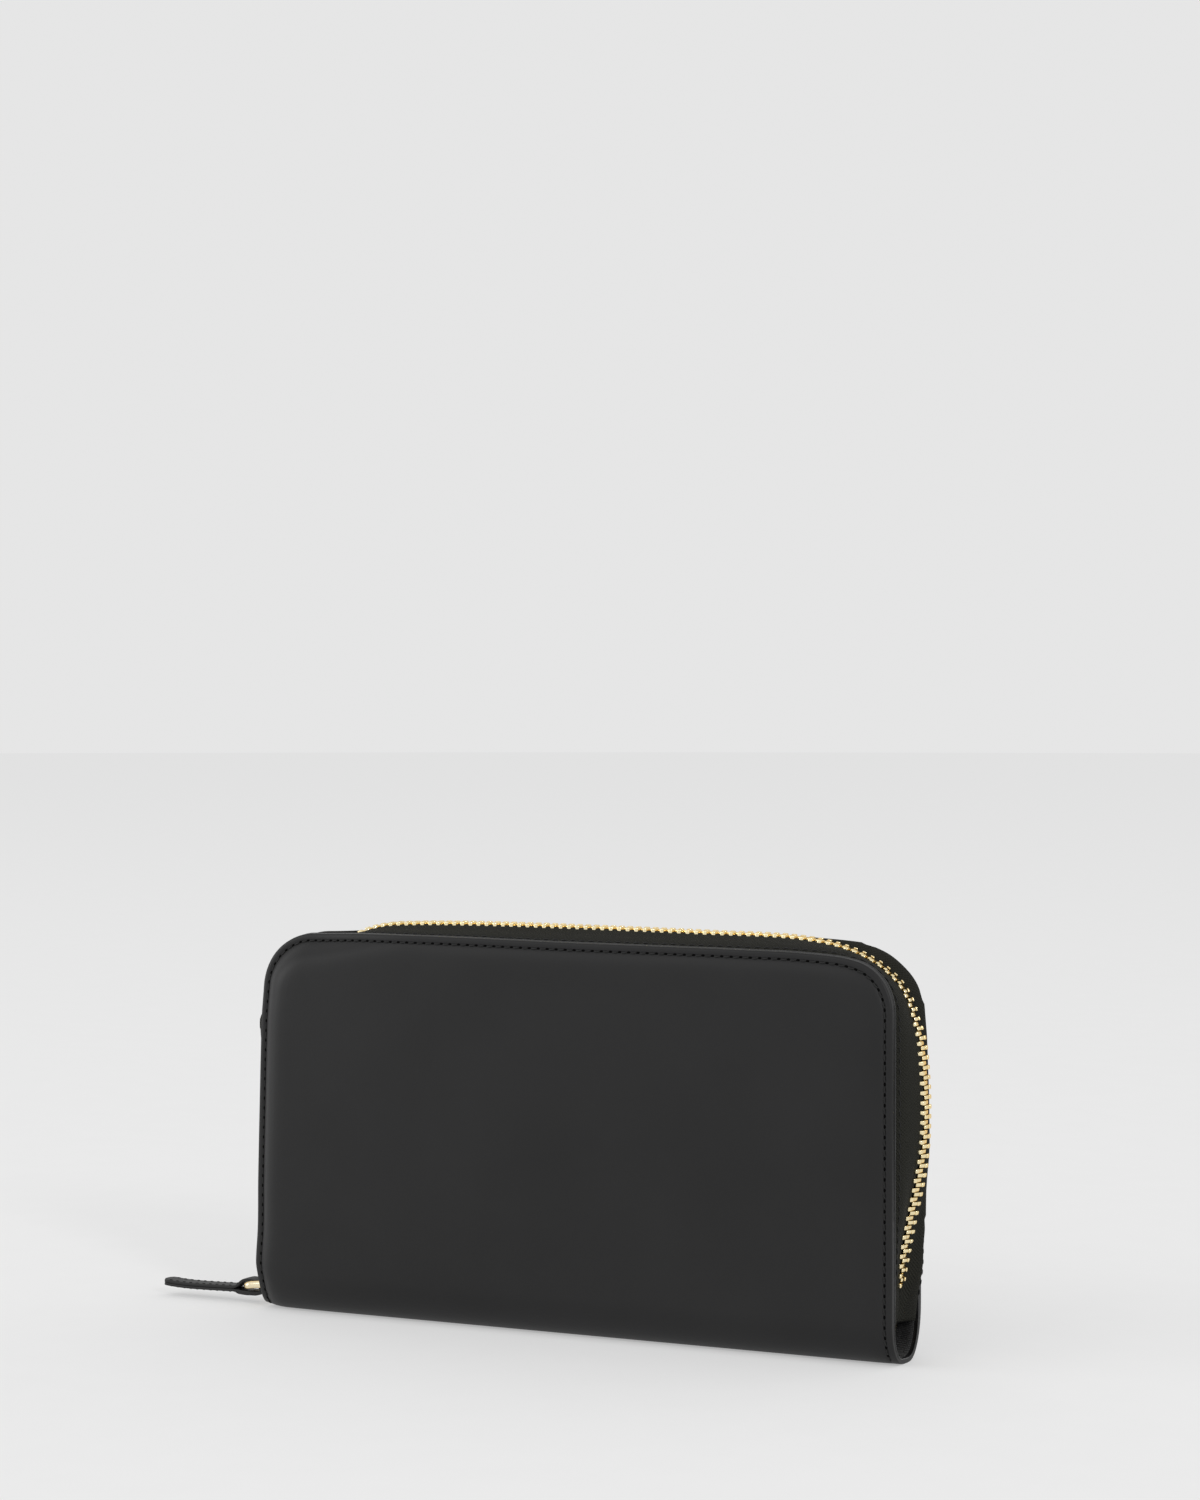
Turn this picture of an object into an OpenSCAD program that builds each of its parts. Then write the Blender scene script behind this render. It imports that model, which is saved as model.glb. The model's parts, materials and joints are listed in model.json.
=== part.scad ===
// Zip-around continental wallet, standing closed on its spine.
// Origin: centre of the flat strip under the spine. +X along the spine, +Z up, -Y is the front face.
// The front half is drawn on the -Y side, and the rear half is its mirror image.

/* [Body] */
// Length of the leather panels along the spine
panel_len = 190; // [184:1:196]
// Height of the leather panels above the table
panel_h = 105; // [102:1:110]
// Thickness over the padded faces
body_t = 26; // [26:0.5:29]
// Radius of the panels' two top corners
corner_r = 15.5; // [14:0.5:18]
// How far the padded face stands proud of the panel's edge
pad_rise = 2.4; // [2:0.1:2.6]

/* [Leather and cloth] */
// Thickness of the cover leather
leather_t = 1.2; // [1:0.1:1.3]
// Thickness of the zip tape
tape_t = 0.5; // [0.4:0.05:0.55]
// Thickness of the lining cloth
lining_t = 0.4; // [0.3:0.05:0.4]
// Thickness of one card slot
slot_t = 0.4; // [0.3:0.05:0.4]

/* [Main zip] */
// Height of the tape's middle above the panel edge
zip_rise = 2.75; // [2:0.25:3]
// Spacing of the teeth in one row
tooth_pitch = 2.5; // [2.4:0.1:3]
// Thickness of one tooth along the zip
tooth_w = 1.1; // [0.9:0.1:1.2]
// Height of the slider's middle above the table when the zip is closed
slider_z = 8; // [7.5:0.5:9]

/* [Pull] */
// Spacing of the pull ring's two bars
ring_len = 9; // [8:0.5:11]
// Diameter of the pull ring's wire
ring_wire = 2; // [1.6:0.1:2.1]
// Distance from the ring's far bar to the tip of the leather strap
strap_len = 28.5; // [24:0.5:34]
// Width of the leather strap
strap_w = 5.6; // [4.8:0.2:5.8]

/* [Coin pocket] */
// Height of the coin pocket's zip above the table
coin_zip_z = 79; // [76:1:80]
// Clear width inside the coin pocket, front to back
coin_gap = 4.2; // [4.2:0.1:4.4]

/* [Hidden] */
$fn = 48;

// Layers, as distances from the middle plane
half_len = panel_len / 2;
face_y = body_t / 2;
edge_y = face_y - pad_rise;
rim_y = edge_y - leather_t;
lining_out = rim_y - 0.6;
lining_in = lining_out - lining_t;
slot_tiers = 4;
slots_in = lining_in - slot_tiers * slot_t;
play = 0.05;

// Padded face: [distance in from the edge, share of the padding's rise]
margin = [[0, 0], [3.2, 0.67], [9, 1]];
pad_inset = 8;
lining_inset = 2.6;
lining_lift = 1.4;
board_lift = 2.4;
slot_lift = 3.4;
slot_half_len = 88.5;
slot_split = 1.2;
slot_top = panel_h - 15;
slot_drop = 12;

// Spine: a flat-bottomed trough, with the covers' lower edges just above it
spine_flat = 3.5;
spine_r = edge_y - spine_flat;
spine_top = 12;
fold_gap = 0.6;
cover_z = spine_top + fold_gap;
flare_h = 10.4;

// Main zip path
corner_x = half_len - corner_r;
corner_z = panel_h - corner_r;
path_r = corner_r + zip_rise;
zip_end_z = 25;
slider_in = 7.33;
lean = atan(slider_in / (corner_z - slider_z));
bow_z = 60;
bow_r = 133;
bow_turn = asin((bow_z - zip_end_z) / bow_r);
left_run = (corner_z - zip_end_z) / cos(lean);
turn_run = path_r * PI / 2;
top_run = 2 * corner_x;
right_run = corner_z - bow_z;
bow_run = bow_r * bow_turn * PI / 180;
leg_ends = [left_run, left_run + turn_run, left_run + turn_run + top_run,
    left_run + 2 * turn_run + top_run, left_run + 2 * turn_run + top_run + right_run,
    left_run + 2 * turn_run + top_run + right_run + bow_run];
teeth = floor(leg_ends[5] / tooth_pitch) - 1;
tail_gap = 1.6;
tail_low = 4.2;
tail_lean = 12;
tail_run = 18.6;
end_teeth_left = 2;
end_teeth_right = 5;
turn_steps = 14;
slot_play = 0.12;

// Tooth section, about the tape's edge: [lift from the tape, distance from the middle plane]
tooth_in = 0.4;
tooth_out = 2.8;
tooth_half = 1.1;
tape_edge = 1.6;
tape_flat = 4.6;
tape_margin = 6.5;
clip_in = 1;
clip_out = 1.1;
clip_len = 1.6;
clip_drop = 5.2;
end_stop_len = 2.2;

// Slider
slider_len = 11;
slider_half_w = 4.3;
slider_gap = 1.25;
slider_plate = 1.1;
crown_clear = 2.3;
crown_bar = 0.9;
crown_half_w = 1.2;
crown_half_len = 4.2;
crown_post = 1.1;
pivot_n = slider_gap + slider_plate + crown_clear / 2;
pivot_w = -1.8;
plate_step = 1.6;
plate_nose = 2.4;
lip_w = 0.8;
lip_near = 0.55;
post_half = 0.25;
post_len = 3;
ring_half_w = 4.2;
ring_tilt = 6;
ply = 0.8;
ring_bend = 2;

// Coin pocket
coin_wall = 0.5;
coin_in = coin_gap / 2;
coin_out = coin_in + coin_wall;
coin_half_len = 85;
coin_base_z = 1.7;
coin_wall_top = coin_zip_z - 3;
coin_teeth_half = 74;
coin_sheet = 0.6;
coin_tooth_half = 0.85;
coin_slot_half = 0.25;
coin_plate = 0.85;
coin_plate_z = 1;
coin_crown_h = 2.5;
coin_pull_len = 13;
coin_pull_half = 2.5;
gusset_low = 8;
gusset_h = coin_zip_z - 9.6 - gusset_low;
coin_pitch = 2.1;
coin_slider_x = 68;
coin_pivot_z = coin_zip_z + 2.7;

// ---- Helpers ----

// Extrudes a (Y, Z) outline along X, about X = 0
module along_x(length) {
    rotate([90, 0, 90]) linear_extrude(length, center = true) children();
}

// Extrudes an (X, Z) outline towards the front, from y = -near to y = -far
module along_y(near, far) {
    translate([0, -near, 0]) rotate([90, 0, 0]) linear_extrude(far - near) children();
}

module rear_side() {
    mirror([0, 1, 0]) children();
}

module both_sides() {
    children();
    rear_side() children();
}

module both_ends() {
    children();
    mirror([1, 0, 0]) children();
}

// A box given by its lowest and highest corners
module block(low, high) {
    translate(low) cube(high - low);
}

function unit(v) = v / norm(v);
function turn_left(v) = [-v[1], v[0]];

// Offset direction of point i of an open line, stretched so that the ribbon keeps its width at a bend
function side_step(p, i) =
    let (last = len(p) - 1,
        before = unit(p[max(i, 1)] - p[max(i, 1) - 1]),
        after = unit(p[min(i, last - 1) + 1] - p[min(i, last - 1)]),
        middle = unit(before + after))
    turn_left(middle) / (before * middle);

// Closed outline of a ribbon of the given thickness along an open line
function ribbon(p, t) = concat(
    [for (i = [0 : len(p) - 1]) p[i] + side_step(p, i) * t / 2],
    [for (i = [len(p) - 1 : -1 : 0]) p[i] - side_step(p, i) * t / 2]);

// A thin skin through ribbon-shaped loops, each a list of points with the same count
module skin(loops) {
    n = len(loops[0]);
    m = n / 2;
    last = len(loops) - 1;
    points = [for (l = loops) each l];
    sides = [for (s = [0 : last - 1]) for (i = [0 : n - 1]) let (j = (i + 1) % n)
        each [[s * n + i, s * n + j, (s + 1) * n + j], [s * n + i, (s + 1) * n + j, (s + 1) * n + i]]];
    first_cap = [for (i = [0 : m - 2]) each [[i, n - 1 - i, n - 2 - i], [i, n - 2 - i, i + 1]]];
    last_cap = [for (f = first_cap) [f[2] + last * n, f[1] + last * n, f[0] + last * n]];
    polyhedron(points, concat(sides, first_cap, last_cap));
}

// ---- Cover panels ----

// (X, Z) outline of a panel, set in from the leather's edge and starting at height low
module panel_outline(inset, low) {
    translate([-half_len + inset, low]) square([2 * (half_len - inset), corner_z - low]);
    translate([-corner_x, low]) square([2 * corner_x, panel_h - inset - low]);
    for (x = [-corner_x, corner_x]) translate([x, corner_z]) circle(corner_r - inset);
}

// Distance of the padded face from the middle plane, at each step in from the edge
function face_at(k, off) = edge_y + margin[k][1] * pad_rise - off;

// Everything between the middle plane and the padded face, set in by off
module pillow(off) {
    steps = [for (k = [0 : len(margin) - 1]) k];
    side = [for (k = steps) [half_len - margin[k][0], -face_at(k, off)]];
    top = [for (k = steps) [-face_at(k, off), panel_h - margin[k][0]]];
    bend = [for (k = steps) [corner_r - margin[k][0], face_at(k, off)]];
    intersection() {
        union() {
            translate([0, 0, cover_z]) linear_extrude(corner_z - cover_z) polygon(concat(
                [[-half_len, 0]], [for (p = side) [-p[0], p[1]]],
                [for (k = [len(side) - 1 : -1 : 0]) side[k]], [[half_len, 0]]));
            along_x(2 * corner_x) polygon(concat([[0, corner_z], [0, panel_h]], top,
                [[-face_at(2, off), corner_z]]));
            both_ends() translate([corner_x, 0, corner_z]) rotate([90, 0, 0]) rotate_extrude(angle = 90)
                polygon(concat([[0, 0], [corner_r, 0]], bend, [[0, face_at(2, off)]]));
        }
        along_x(panel_len + 2) polygon([[0, cover_z], [-face_at(0, off), cover_z],
            [-face_at(1, off), cover_z + 0.35 * flare_h], [-face_at(2, off), cover_z + flare_h],
            [-face_at(2, off), panel_h + 1], [0, panel_h + 1]]);
    }
}

module cover_leather() {
    color([0.14, 0.14, 0.14]) difference() {
        pillow(0);
        pillow(leather_t);
        block([-half_len - 1, -rim_y, 0], [half_len + 1, 1, panel_h + 1]);
    }
}

module cover_foam() {
    color([0.75, 0.75, 0.7]) intersection() {
        pillow(leather_t + play);
        along_y(rim_y, face_y) panel_outline(pad_inset, cover_z + board_lift);
    }
}

module cover_board() {
    color([0.6, 0.5, 0.38]) along_y(lining_out, rim_y - play)
        panel_outline(pad_inset, cover_z + board_lift);
}

module cover_lining() {
    color([0.1, 0.1, 0.1]) along_y(lining_in, lining_out) panel_outline(lining_inset, cover_z + lining_lift);
}

// One tier of card slots: tier 0 lies on the lining, and each further tier is lower and further in
module card_slot(tier) {
    top = slot_top - slot_drop * tier;
    foot = cover_z + slot_lift;
    near = lining_in - (tier + 1) * slot_t;
    color([0.12, 0.12, 0.12]) both_ends() along_y(near, near + slot_t)
        translate([slot_split, foot]) square([slot_half_len - slot_split, top - foot]);
}

// ---- Spine ----

// (Y, Z) trough outline, set in by off, up to the given height
module trough(off, top) {
    r = spine_r - off;
    translate([-spine_flat - r, spine_r]) square([2 * (spine_flat + r), top - spine_r]);
    translate([-spine_flat, off]) square([2 * spine_flat, top - off]);
    for (y = [-spine_flat, spine_flat]) translate([y, spine_r]) circle(r);
}

module trough_shell(out, in, top, length) {
    along_x(length) difference() {
        intersection() {
            trough(out, top);
            translate([-body_t, 0]) square([2 * body_t, top]);
        }
        trough(in, top + 1);
    }
}

module spine_leather() {
    color([0.14, 0.14, 0.14]) trough_shell(0, leather_t, spine_top, panel_len);
}

module spine_lining() {
    color([0.1, 0.1, 0.1]) trough_shell(leather_t, leather_t + lining_t, spine_top - 1, panel_len - 4);
}

// ---- Main zip ----

function chain_drop(z) = (corner_z - z) * tan(lean);
function bow_drop(z) = z > bow_z ? 0 : bow_r - sqrt(bow_r * bow_r - (bow_z - z) * (bow_z - z));

// [x, z, heading] of the zip's middle line at distance s; heading 0 runs along +X, 90 straight down
function path(s) =
    s < leg_ends[0] ? [-half_len - zip_rise + chain_drop(zip_end_z + s * cos(lean)),
        zip_end_z + s * cos(lean), -90 - lean] :
    s < leg_ends[1] ? let (a = 180 - (s - leg_ends[0]) / turn_run * 90)
        [-corner_x + path_r * cos(a), corner_z + path_r * sin(a), 90 - a] :
    s < leg_ends[2] ? [-corner_x + s - leg_ends[1], panel_h + zip_rise, 0] :
    s < leg_ends[3] ? let (a = 90 - (s - leg_ends[2]) / turn_run * 90)
        [corner_x + path_r * cos(a), corner_z + path_r * sin(a), 90 - a] :
    s < leg_ends[4] ? [half_len + zip_rise, corner_z - s + leg_ends[3], 90] :
    let (a = (s - leg_ends[4]) / bow_r * 180 / PI)
        [half_len + zip_rise - bow_r * (1 - cos(a)), bow_z - bow_r * sin(a), 90 + a];

// Local frame on the zip: x outwards, y towards the front, z along the zip
module on_path(s) {
    p = path(s);
    translate([p[0], 0, p[1]]) rotate([180, p[2] - 90, 0]) children();
}

// Tape's middle line across the wallet, from under the leather to the teeth: [lift from the panel edge, y]
function tape_line(rise) = concat([[-tape_margin, rim_y - 0.3], [-1.4, rim_y - 0.3]],
    [for (k = [0 : 4]) let (t = k / 4)
        [-0.6 + (rise + 0.6) * sin(90 * t), rim_y - 0.4 - (rim_y - 0.4 - tape_flat) * t]],
    [[rise, tape_edge]]);

// One cross-section of the tape, at point [x, z] of the panel's edge with outward direction out
function tape_loop(x, z, out, rise) =
    [for (p = ribbon(tape_line(rise), tape_t)) [x + out[0] * p[0], -p[1], z + out[1] * p[0]]];

module zip_tape() {
    side_z = [for (k = [0 : 8]) zip_end_z - 1 + (corner_z - zip_end_z + 1) * k / 8];
    turns = [for (k = [1 : turn_steps]) k * 90 / turn_steps];
    left = [for (z = side_z) tape_loop(-half_len, z, [-1, 0], zip_rise - chain_drop(z))];
    left_turn = [for (a = turns) let (out = [-cos(a), sin(a)])
        tape_loop(-corner_x + corner_r * out[0], corner_z + corner_r * out[1], out, zip_rise)];
    right_turn = [for (k = [0 : turn_steps - 1]) let (a = 90 - k * 90 / turn_steps, out = [cos(a), sin(a)])
        tape_loop(corner_x + corner_r * out[0], corner_z + corner_r * out[1], out, zip_rise)];
    right = [for (k = [8 : -1 : 0]) tape_loop(half_len, side_z[k], [1, 0], zip_rise - bow_drop(side_z[k]))];
    color([0.16, 0.16, 0.14]) skin(concat(left, left_turn, right_turn, right));
}

// A tooth straddles the tape's edge, which lies in its slot
module tooth() {
    slot = tape_t / 2 + slot_play;
    linear_extrude(tooth_w, center = true) polygon([[-tooth_half, tooth_in], [tooth_half, tooth_in],
        [tooth_half, tooth_out], [slot, tooth_out], [slot, tape_edge - play], [-slot, tape_edge - play],
        [-slot, tooth_out], [-tooth_half, tooth_out]]);
}

// phase 0 for the front row and 0.5 for the rear row, which sits half a pitch along
module zip_teeth(phase) {
    color([0.83, 0.7, 0.42])
        for (i = [0 : teeth - 1]) on_path((i + 0.5 + phase) * tooth_pitch) tooth();
}

// Lower tape ends, which stay side by side at the spine: from and to are distances along the zip's line
module tape_tails(from, to) {
    color([0.16, 0.16, 0.14]) both_sides()
        block([-tape_t / 2, tape_edge, from], [tape_t / 2, tape_margin, to]);
}

// Frame of the right tail, which drops almost straight down from the end of the bow
module on_right_tail() {
    p = path(leg_ends[5] - 0.01);
    translate([p[0], 0, p[1]]) rotate([180, tail_lean, 0]) children();
}

module zip_tail_left() {
    on_path(0) tape_tails(-(zip_end_z - tail_low) / cos(lean), -tail_gap);
}

module zip_tail_right() {
    on_right_tail() tape_tails(tail_gap, tail_run);
}

// Both rows of teeth on a tail: step is +1 where the zip's line leads down, and -1 where it leads up
module end_teeth(count, step) {
    color([0.83, 0.7, 0.42]) for (i = [0 : count - 1]) {
        translate([0, 0, step * (i + 1.3) * tooth_pitch]) tooth();
        rear_side() translate([0, 0, step * (i + 1.8) * tooth_pitch]) tooth();
    }
}

module zip_end_teeth_left() {
    on_path(0) end_teeth(end_teeth_left, -1);
}

module zip_end_teeth_right() {
    on_right_tail() end_teeth(end_teeth_right, 1);
}

// A metal clip's two cheeks, on either face of the tape, across y = low to high
module stop_cheeks(low, high, length) {
    near = tape_t / 2 + play;
    for (face = [-1, 1]) block([min(face * clip_out, face * near), low, 0],
        [max(face * clip_out, face * near), high, length]);
}

module zip_stops_left() {
    color([0.83, 0.7, 0.42]) in_slider_frame() translate([0, 0, -clip_drop])
        both_sides() stop_cheeks(clip_in, tooth_out, clip_len);
}

module zip_stop_right() {
    color([0.83, 0.7, 0.42]) on_right_tail() translate([0, 0, tail_run - end_stop_len - 0.4])
        stop_cheeks(-tooth_out, tooth_out, end_stop_len);
}

// ---- Slider and pull ----

// Frame of the closed slider: as on_path, at the slider's rest height
module in_slider_frame() {
    on_path(0) translate([0, 0, -(zip_end_z - slider_z) / cos(lean)]) children();
}

// (y, z) outline of a slider plate: widest at its lower end, where the two rows enter
module plate_outline(half_w) {
    h = slider_len / 2;
    polygon([[-half_w + 1.4, -h], [half_w - 1.4, -h], [half_w, -h + plate_step], [half_w, h - plate_nose],
        [half_w - 0.9, h - 0.6], [half_w - 1.7, h], [-half_w + 1.7, h], [-half_w + 0.9, h - 0.6],
        [-half_w, h - plate_nose], [-half_w, -h + plate_step]]);
}

// Extrudes a (y, z) outline along local x, from x = low to x = high
module along_n(low, high) {
    translate([low, 0, 0]) rotate([90, 0, 90]) linear_extrude(high - low) children();
}

module zip_slider_body() {
    color([0.85, 0.72, 0.44]) in_slider_frame() {
        for (face = [0, 1]) mirror([face, 0, 0]) {
            along_n(slider_gap, slider_gap + slider_plate) plate_outline(slider_half_w);
            both_sides() block([lip_near, slider_half_w - lip_w, -slider_len / 2 + plate_step],
                [slider_gap, slider_half_w, slider_len / 2 - plate_nose]);
        }
        block([-slider_gap, -post_half, -slider_len / 2], [slider_gap, post_half, -slider_len / 2 + post_len]);
    }
}

module zip_slider_crown() {
    foot = slider_gap + slider_plate;
    color([0.85, 0.72, 0.44]) in_slider_frame() along_y(-crown_half_w, crown_half_w)
        difference() {
            union() {
                translate([foot, -crown_half_len]) square([crown_clear, 2 * crown_half_len]);
                translate([foot + crown_clear, -crown_half_len + crown_bar])
                    square([crown_bar, 2 * (crown_half_len - crown_bar)]);
                for (w = [-1, 1]) translate([foot + crown_clear, w * (crown_half_len - crown_bar)])
                    circle(crown_bar);
            }
            translate([foot - 1, -crown_half_len + crown_post])
                square([crown_clear + 1, 2 * (crown_half_len - crown_post)]);
        }
}

// Frame at the ring's near bar: x outwards from the wallet and level, y along the bar, z up
module at_pull_pivot() {
    p = path(0);
    along = (slider_z - zip_end_z) / cos(lean) + pivot_w;
    translate([p[0] - along * sin(lean) - pivot_n * cos(lean), 0,
        p[1] + along * cos(lean) - pivot_n * sin(lean)]) mirror([1, 0, 0]) children();
}

module bar_along_y(half, r) {
    rotate([90, 0, 0]) cylinder(r = r, h = 2 * half, center = true);
}

// Frame at the ring's near bar, with x along the ring, which hangs a little
module on_ring() {
    at_pull_pivot() rotate([0, ring_tilt, 0]) children();
}

module pull_ring() {
    r = ring_wire / 2;
    color([0.85, 0.72, 0.44]) on_ring() {
        for (x = [0, ring_len]) translate([x, 0, 0]) bar_along_y(ring_half_w - ring_bend, r);
        both_sides() {
            translate([ring_bend, ring_half_w, 0]) rotate([0, 90, 0])
                cylinder(r = r, h = ring_len - 2 * ring_bend);
            translate([ring_len - ring_bend, ring_half_w - ring_bend, 0])
                rotate_extrude(angle = 90) translate([ring_bend, 0]) circle(r);
            translate([ring_bend, ring_half_w - ring_bend, 0]) rotate([0, 0, 90])
                rotate_extrude(angle = 90) translate([ring_bend, 0]) circle(r);
        }
    }
}

// Leather strap folded round the ring's far bar; its line is measured from that bar
module pull_strap() {
    neck = 4.6;
    flat_line = [[neck, -1.5], [0.33 * strap_len, -1.95], [0.72 * strap_len, -1.9], [strap_len, -1.4]];
    loop_line = [[neck + 0.4, -1.1], [2.8, 0.4], [1.3, 1.5], [-0.3, 1.65], [-1.8, 1.1], [-3.4, -0.2],
        [-4.3, -1.3], [-3.6, -2.2], [-1.6, -2.5], [2, -2.3], [neck + 0.4, -1.9]];
    color([0.13, 0.13, 0.13]) at_pull_pivot()
        translate([ring_len * cos(ring_tilt), 0, -ring_len * sin(ring_tilt)])
        along_y(-strap_w / 2, strap_w / 2) {
            polygon(ribbon(flat_line, 2 * ply));
            polygon(ribbon(loop_line, ply));
        }
}

// ---- Gussets ----

// One V pleat between a card panel and the coin pocket, seen from above
module gusset() {
    color([0.1, 0.1, 0.1]) translate([0, 0, gusset_low]) linear_extrude(gusset_h) polygon(ribbon(
        [[86.4, -(slots_in - 0.25)], [84.5, -(slots_in - 0.25)], [76, -(slots_in + coin_out) / 2],
            [84.5, -(coin_out + 0.25)], [86.4, -(coin_out + 0.25)]], 0.4));
}

// ---- Coin pocket ----

module coin_wall_panel() {
    color([0.12, 0.12, 0.12]) block([-coin_half_len, -coin_out, coin_base_z + coin_sheet],
        [coin_half_len, -coin_in, coin_wall_top]);
}

module coin_pocket_base() {
    color([0.12, 0.12, 0.12]) block([-coin_half_len, -coin_out, coin_base_z],
        [coin_half_len, coin_out, coin_base_z + coin_sheet]);
}

module coin_pocket_side() {
    color([0.12, 0.12, 0.12]) block([coin_half_len, -coin_out, coin_base_z],
        [coin_half_len + coin_sheet, coin_out, coin_wall_top]);
}

// Coin zip's tape, in (distance from the middle plane, height): flat by the teeth, then down over the wall
module coin_zip_tape() {
    z = coin_zip_z;
    line = [[1.1, z], [3.05, z], [3.45, z - 0.4], [3.5, z - 1.5], [3.25, z - 3],
        [coin_out + 0.25, z - 4.8], [coin_out + 0.25, z - 9]];
    color([0.16, 0.16, 0.14]) mirror([0, 1, 0]) along_x(2 * coin_half_len) polygon(ribbon(line, 0.4));
}

module coin_tooth() {
    rotate([90, 0, 90]) linear_extrude(0.9, center = true) polygon([
        [-0.3, -coin_tooth_half], [-0.3, coin_tooth_half], [-1.9, coin_tooth_half],
        [-1.9, coin_slot_half], [-1.05, coin_slot_half], [-1.05, -coin_slot_half],
        [-1.9, -coin_slot_half], [-1.9, -coin_tooth_half]]);
}

module coin_zip_teeth(phase) {
    count = floor(2 * coin_teeth_half / coin_pitch);
    color([0.83, 0.7, 0.42]) for (i = [0 : count - 1])
        translate([-coin_teeth_half + (i + phase) * coin_pitch, 0, coin_zip_z]) coin_tooth();
}

module coin_zip_stops() {
    near = coin_slot_half;
    far = coin_tooth_half;
    color([0.83, 0.7, 0.42]) both_ends() both_sides() for (face = [-1, 1])
        block([coin_teeth_half + 2, -2, coin_zip_z + min(face * near, face * far)],
            [coin_teeth_half + 3.6, -0.5, coin_zip_z + max(face * near, face * far)]);
}

module coin_slider_body() {
    color([0.85, 0.72, 0.44]) translate([coin_slider_x, 0, coin_zip_z]) {
        block([-3.8, -3, coin_plate_z], [3.8, 3, coin_plate_z + coin_plate]);
        block([-3.6, -2.8, -coin_plate_z - coin_plate], [3.6, 2.8, -coin_plate_z]);
        block([1.8, -0.2, -coin_plate_z], [3.6, 0.2, coin_plate_z]);
    }
}

module coin_slider_crown() {
    color([0.85, 0.72, 0.44]) translate([coin_slider_x, 0, coin_zip_z + coin_plate_z + coin_plate])
        along_y(-0.9, 0.9) difference() {
            translate([-2.8, 0]) square([5.6, coin_crown_h]);
            translate([-2, -0.1]) square([4, 1.75]);
        }
}

// Pull tab, lying towards -X over the closed zip
module coin_pull_tab() {
    color([0.85, 0.72, 0.44]) translate([coin_slider_x, 0, coin_pivot_z]) {
        bar_along_y(coin_pull_half, 0.6);
        both_sides() block([-5, 1.5, -0.5], [0, coin_pull_half, 0.5]);
        block([-coin_pull_len, -coin_pull_half, -0.5], [-5, coin_pull_half, 0.5]);
        translate([-coin_pull_len, 0, -0.5]) cylinder(r = coin_pull_half, h = 1);
    }
}

spine_leather();
spine_lining();
cover_leather();  // front_cover_leather
cover_foam();  // front_foam
cover_board();  // front_board
cover_lining();  // front_lining
card_slot(0);  // front_card_slot_1
card_slot(1);  // front_card_slot_2
card_slot(2);  // front_card_slot_3
card_slot(3);  // front_card_slot_4
zip_tape();  // front_zip_tape
zip_teeth(0);  // front_zip_teeth
rear_side() cover_leather();  // rear_cover_leather
rear_side() cover_foam();  // rear_foam
rear_side() cover_board();  // rear_board
rear_side() cover_lining();  // rear_lining
rear_side() card_slot(0);  // rear_card_slot_1
rear_side() card_slot(1);  // rear_card_slot_2
rear_side() card_slot(2);  // rear_card_slot_3
rear_side() card_slot(3);  // rear_card_slot_4
rear_side() zip_tape();  // rear_zip_tape
rear_side() zip_teeth(0.5);  // rear_zip_teeth
zip_tail_left();
zip_tail_right();
zip_end_teeth_left();
zip_end_teeth_right();
zip_stops_left();
zip_stop_right();
zip_slider_body();
zip_slider_crown();
pull_ring();
pull_strap();
mirror([1, 0, 0]) gusset();  // gusset_front_left
gusset();  // gusset_front_right
rear_side() mirror([1, 0, 0]) gusset();  // gusset_rear_left
rear_side() gusset();  // gusset_rear_right
coin_wall_panel();  // coin_pocket_front
rear_side() coin_wall_panel();  // coin_pocket_rear
coin_pocket_base();
mirror([1, 0, 0]) coin_pocket_side();  // coin_pocket_side_left
coin_pocket_side();  // coin_pocket_side_right
coin_zip_tape();  // coin_zip_tape_front
rear_side() coin_zip_tape();  // coin_zip_tape_rear
coin_zip_teeth(0.25);  // coin_zip_teeth_front
rear_side() coin_zip_teeth(0.75);  // coin_zip_teeth_rear
coin_zip_stops();
coin_slider_body();
coin_slider_crown();
coin_pull_tab();
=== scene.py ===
import math

import bmesh
import bpy
import numpy as np
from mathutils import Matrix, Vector
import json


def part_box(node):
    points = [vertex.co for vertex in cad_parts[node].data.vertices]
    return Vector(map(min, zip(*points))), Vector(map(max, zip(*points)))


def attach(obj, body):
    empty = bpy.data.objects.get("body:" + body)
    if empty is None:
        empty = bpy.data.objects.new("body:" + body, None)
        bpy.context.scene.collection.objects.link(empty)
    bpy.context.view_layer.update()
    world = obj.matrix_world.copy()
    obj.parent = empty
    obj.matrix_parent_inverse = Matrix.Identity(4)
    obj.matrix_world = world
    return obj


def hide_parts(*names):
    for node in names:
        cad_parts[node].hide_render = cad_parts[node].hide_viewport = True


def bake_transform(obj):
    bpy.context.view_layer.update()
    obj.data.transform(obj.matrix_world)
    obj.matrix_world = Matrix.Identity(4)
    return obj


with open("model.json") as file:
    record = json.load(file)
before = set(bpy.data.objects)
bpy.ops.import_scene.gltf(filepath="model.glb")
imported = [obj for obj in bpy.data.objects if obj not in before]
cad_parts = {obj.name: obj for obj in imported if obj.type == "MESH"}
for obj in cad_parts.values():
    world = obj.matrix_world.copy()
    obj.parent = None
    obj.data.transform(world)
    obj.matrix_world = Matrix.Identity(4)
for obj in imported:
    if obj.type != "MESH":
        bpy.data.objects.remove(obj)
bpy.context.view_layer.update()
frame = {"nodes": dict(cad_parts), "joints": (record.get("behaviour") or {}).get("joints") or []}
MM = 0.001

# ---- camera

CAMERA_TURN = 26.9  # degrees to the right of straight-on
CAMERA_DIP = 0.95  # degrees the lens looks down
CAMERA_AT = (429.8, -833.8, 171.2)
LENS = 84.4


def put_in(name, data):
    """A new object in the scene."""
    obj = bpy.data.objects.new(name, data)
    bpy.context.scene.collection.objects.link(obj)
    return obj


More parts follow.
